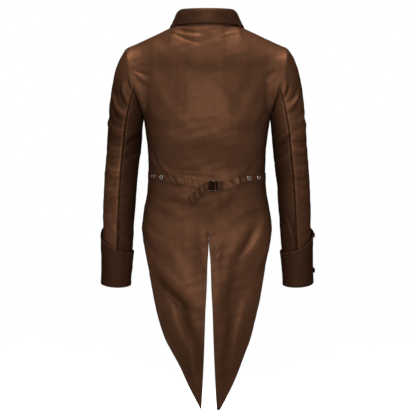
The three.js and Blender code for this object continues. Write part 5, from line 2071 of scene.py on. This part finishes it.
class TAILCOAT_OT_buttons(bpy.types.Operator):
    """Set the domed buttons on the cuffs and down the front"""

    bl_idname = "tailcoat.make_buttons"
    bl_label = "Make Buttons"

    def execute(self, context):
        for side, word in SIDES:
            places = []
            facings = []
            turn = CUFF_BUTTON_TURN - CUFF_FORWARD[word]
            for height in CUFF_BUTTON_HEIGHTS:
                up = (height + CUFF_DROP) / (float(cuff_top(turn)) + CUFF_DROP)
                place, normal = cuff_place(turn, up, word)
                places.append(to_side(place + normal * CUFF_BUTTON_LIFT, side))
                facings.append(to_side(normal, side))
            button = lathe(BUTTON_PROFILE, 32)
            nodes = [f"cuff_button_{word}_1", f"cuff_button_{word}_2"]
            set_trim(f"cuff_buttons_{word}", places, facings, button, "dark", nodes)
        places = []
        facings = []
        levels = np.linspace(1, -1, 2001)
        line = front_base_points(np.zeros(len(levels)), levels, 1)
        for z in FRONT_BUTTON_HEIGHTS:
            i = int(np.argmin(np.abs(line[:, 2] - z)))
            uphill = unit(line[i - 3] - line[i + 3])
            normal = unit(np.cross(np.array([1.0, 0, 0]), uphill))
            places.append(line[i] + normal * FRONT_BUTTON_LIFT)
            facings.append(normal)
        nodes = [f"front_button_{i + 1}" for i in range(len(FRONT_BUTTON_HEIGHTS))]
        set_trim("front_buttons", places, facings, lathe(BUTTON_PROFILE, 32), "dark", nodes)
        return {"FINISHED"}


def cuff_place(turn, up, word):
    """A point of a cuff and the way that it faces."""
    turn = np.array(turn)
    up = np.array(up)
    normal = surface_normal(lambda u, v: cuff_base(u * 360, v, word), turn / 360, up)
    return cuff_base(turn, up, word), normal


class TAILCOAT_OT_stitches(bpy.types.Operator):
    """Lay the stitches along the hems, cuffs, collar and belt"""

    bl_idname = "tailcoat.make_stitches"
    bl_label = "Make Stitches"

    def execute(self, context):
        points = []
        edges = []
        for run in stitch_runs:
            start = len(points)
            points.extend(run.tolist())
            edges.extend((start + i, start + i + 1) for i in range(len(run) - 1))
        source = bpy.data.meshes.new("stitching")
        source.from_pydata((np.array(points) / 1000).tolist(), edges, [])
        sizes = context.scene.coat_sizes
        values = {
            "Stitch Length": sizes.stitch,
            "Thread Thickness": sizes.thread,
            "Finish": coat_material("thread"),
        }
        piece = grow_nodes("stitching", source, stitch_tree(), values)
        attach(piece, RIDES_ON)
        return {"FINISHED"}


# Stage

def soft_light(name, place, target, size, power, spread_angle):
    """A round soft light that points at a target."""
    light = bpy.data.lights.new(name, "AREA")
    light.shape = "DISK"
    light.size = size
    light.energy = power
    light.spread = math.radians(spread_angle)
    lamp = bpy.data.objects.new(name, light)
    lamp.location = place
    way = Vector(target) - Vector(place)
    lamp.rotation_euler = way.to_track_quat("-Z", "Y").to_euler()
    lamp.visible_camera = False
    bpy.context.scene.collection.objects.link(lamp)


class TAILCOAT_OT_stage(bpy.types.Operator):
    """Set the camera, the pale floor and the soft studio lights"""

    bl_idname = "tailcoat.set_stage"
    bl_label = "Set Stage"

    def execute(self, context):
        view = bpy.data.cameras.new("View from behind")
        view.sensor_width = SENSOR
        view.lens = SENSOR * VIEW_DISTANCE / (PHOTO_PIXELS * METRES_PER_PIXEL)
        view.clip_end = 60
        camera = bpy.data.objects.new("View from behind", view)
        x, y, z = VIEW_CENTRE
        camera.location = (x, y + VIEW_DISTANCE, z)
        camera.rotation_euler = (math.pi / 2, 0, math.pi)
        context.scene.collection.objects.link(camera)
        context.scene.camera = camera
        floor = bpy.data.meshes.new("floor")
        quarters = ((-1, -1), (1, -1), (1, 1), (-1, 1))
        corners = [(FLOOR_HALF * right, FLOOR_HALF * back, FLOOR_Z) for right, back in quarters]
        floor.from_pydata(corners, [], [(0, 1, 2, 3)])
        floor.materials.append(coat_material("paper"))
        ground = bpy.data.objects.new("floor", floor)
        context.scene.collection.objects.link(ground)
        world = bpy.data.worlds.new("Pale studio")
        world.use_nodes = True
        background = world.node_tree.nodes["Background"]
        background.inputs["Color"].default_value = (1, 1, 1, 1)
        background.inputs["Strength"].default_value = 1.0
        context.scene.world = world
        context.scene.view_settings.view_transform = "Standard"
        for light in LIGHTS:
            soft_light(*light)
        return {"FINISHED"}


OPERATORS = (
    TAILCOAT_OT_stage,
    TAILCOAT_OT_backs,
    TAILCOAT_OT_fronts,
    TAILCOAT_OT_sleeves,
    TAILCOAT_OT_cuffs,
    TAILCOAT_OT_collar,
    TAILCOAT_OT_belt,
    TAILCOAT_OT_eyelets,
    TAILCOAT_OT_buckle,
    TAILCOAT_OT_buttons,
    TAILCOAT_OT_stitches,
)


class TAILCOAT_PT_panel(bpy.types.Panel):
    """The coat's sizes, colours and making steps"""

    bl_idname = "TAILCOAT_PT_panel"
    bl_label = "Belted Tailcoat"
    bl_space_type = "VIEW_3D"
    bl_region_type = "UI"
    bl_category = "Tailcoat"

    def draw(self, context):
        layout = self.layout
        for settings in (context.scene.coat_sizes, context.scene.coat_colours):
            for name in settings.__annotations__:
                layout.prop(settings, name)
        for operator in OPERATORS:
            layout.operator(operator.bl_idname)


CLASSES = (CoatSizes, CoatColours, *OPERATORS, TAILCOAT_PT_panel)


def register():
    for each in CLASSES:
        bpy.utils.register_class(each)
    bpy.types.Scene.coat_sizes = PointerProperty(type=CoatSizes)
    bpy.types.Scene.coat_colours = PointerProperty(type=CoatColours)


def unregister():
    del bpy.types.Scene.coat_colours
    del bpy.types.Scene.coat_sizes
    for each in reversed(CLASSES):
        bpy.utils.unregister_class(each)


def main():
    register()
    bpy.ops.tailcoat.set_stage()
    bpy.ops.tailcoat.make_backs()
    bpy.ops.tailcoat.make_fronts()
    bpy.ops.tailcoat.make_sleeves()
    bpy.ops.tailcoat.make_cuffs()
    bpy.ops.tailcoat.make_collar()
    bpy.ops.tailcoat.make_belt()
    bpy.ops.tailcoat.make_eyelets()
    bpy.ops.tailcoat.make_buckle()
    bpy.ops.tailcoat.make_buttons()
    bpy.ops.tailcoat.make_stitches()


if __name__ == "__main__":
    main()
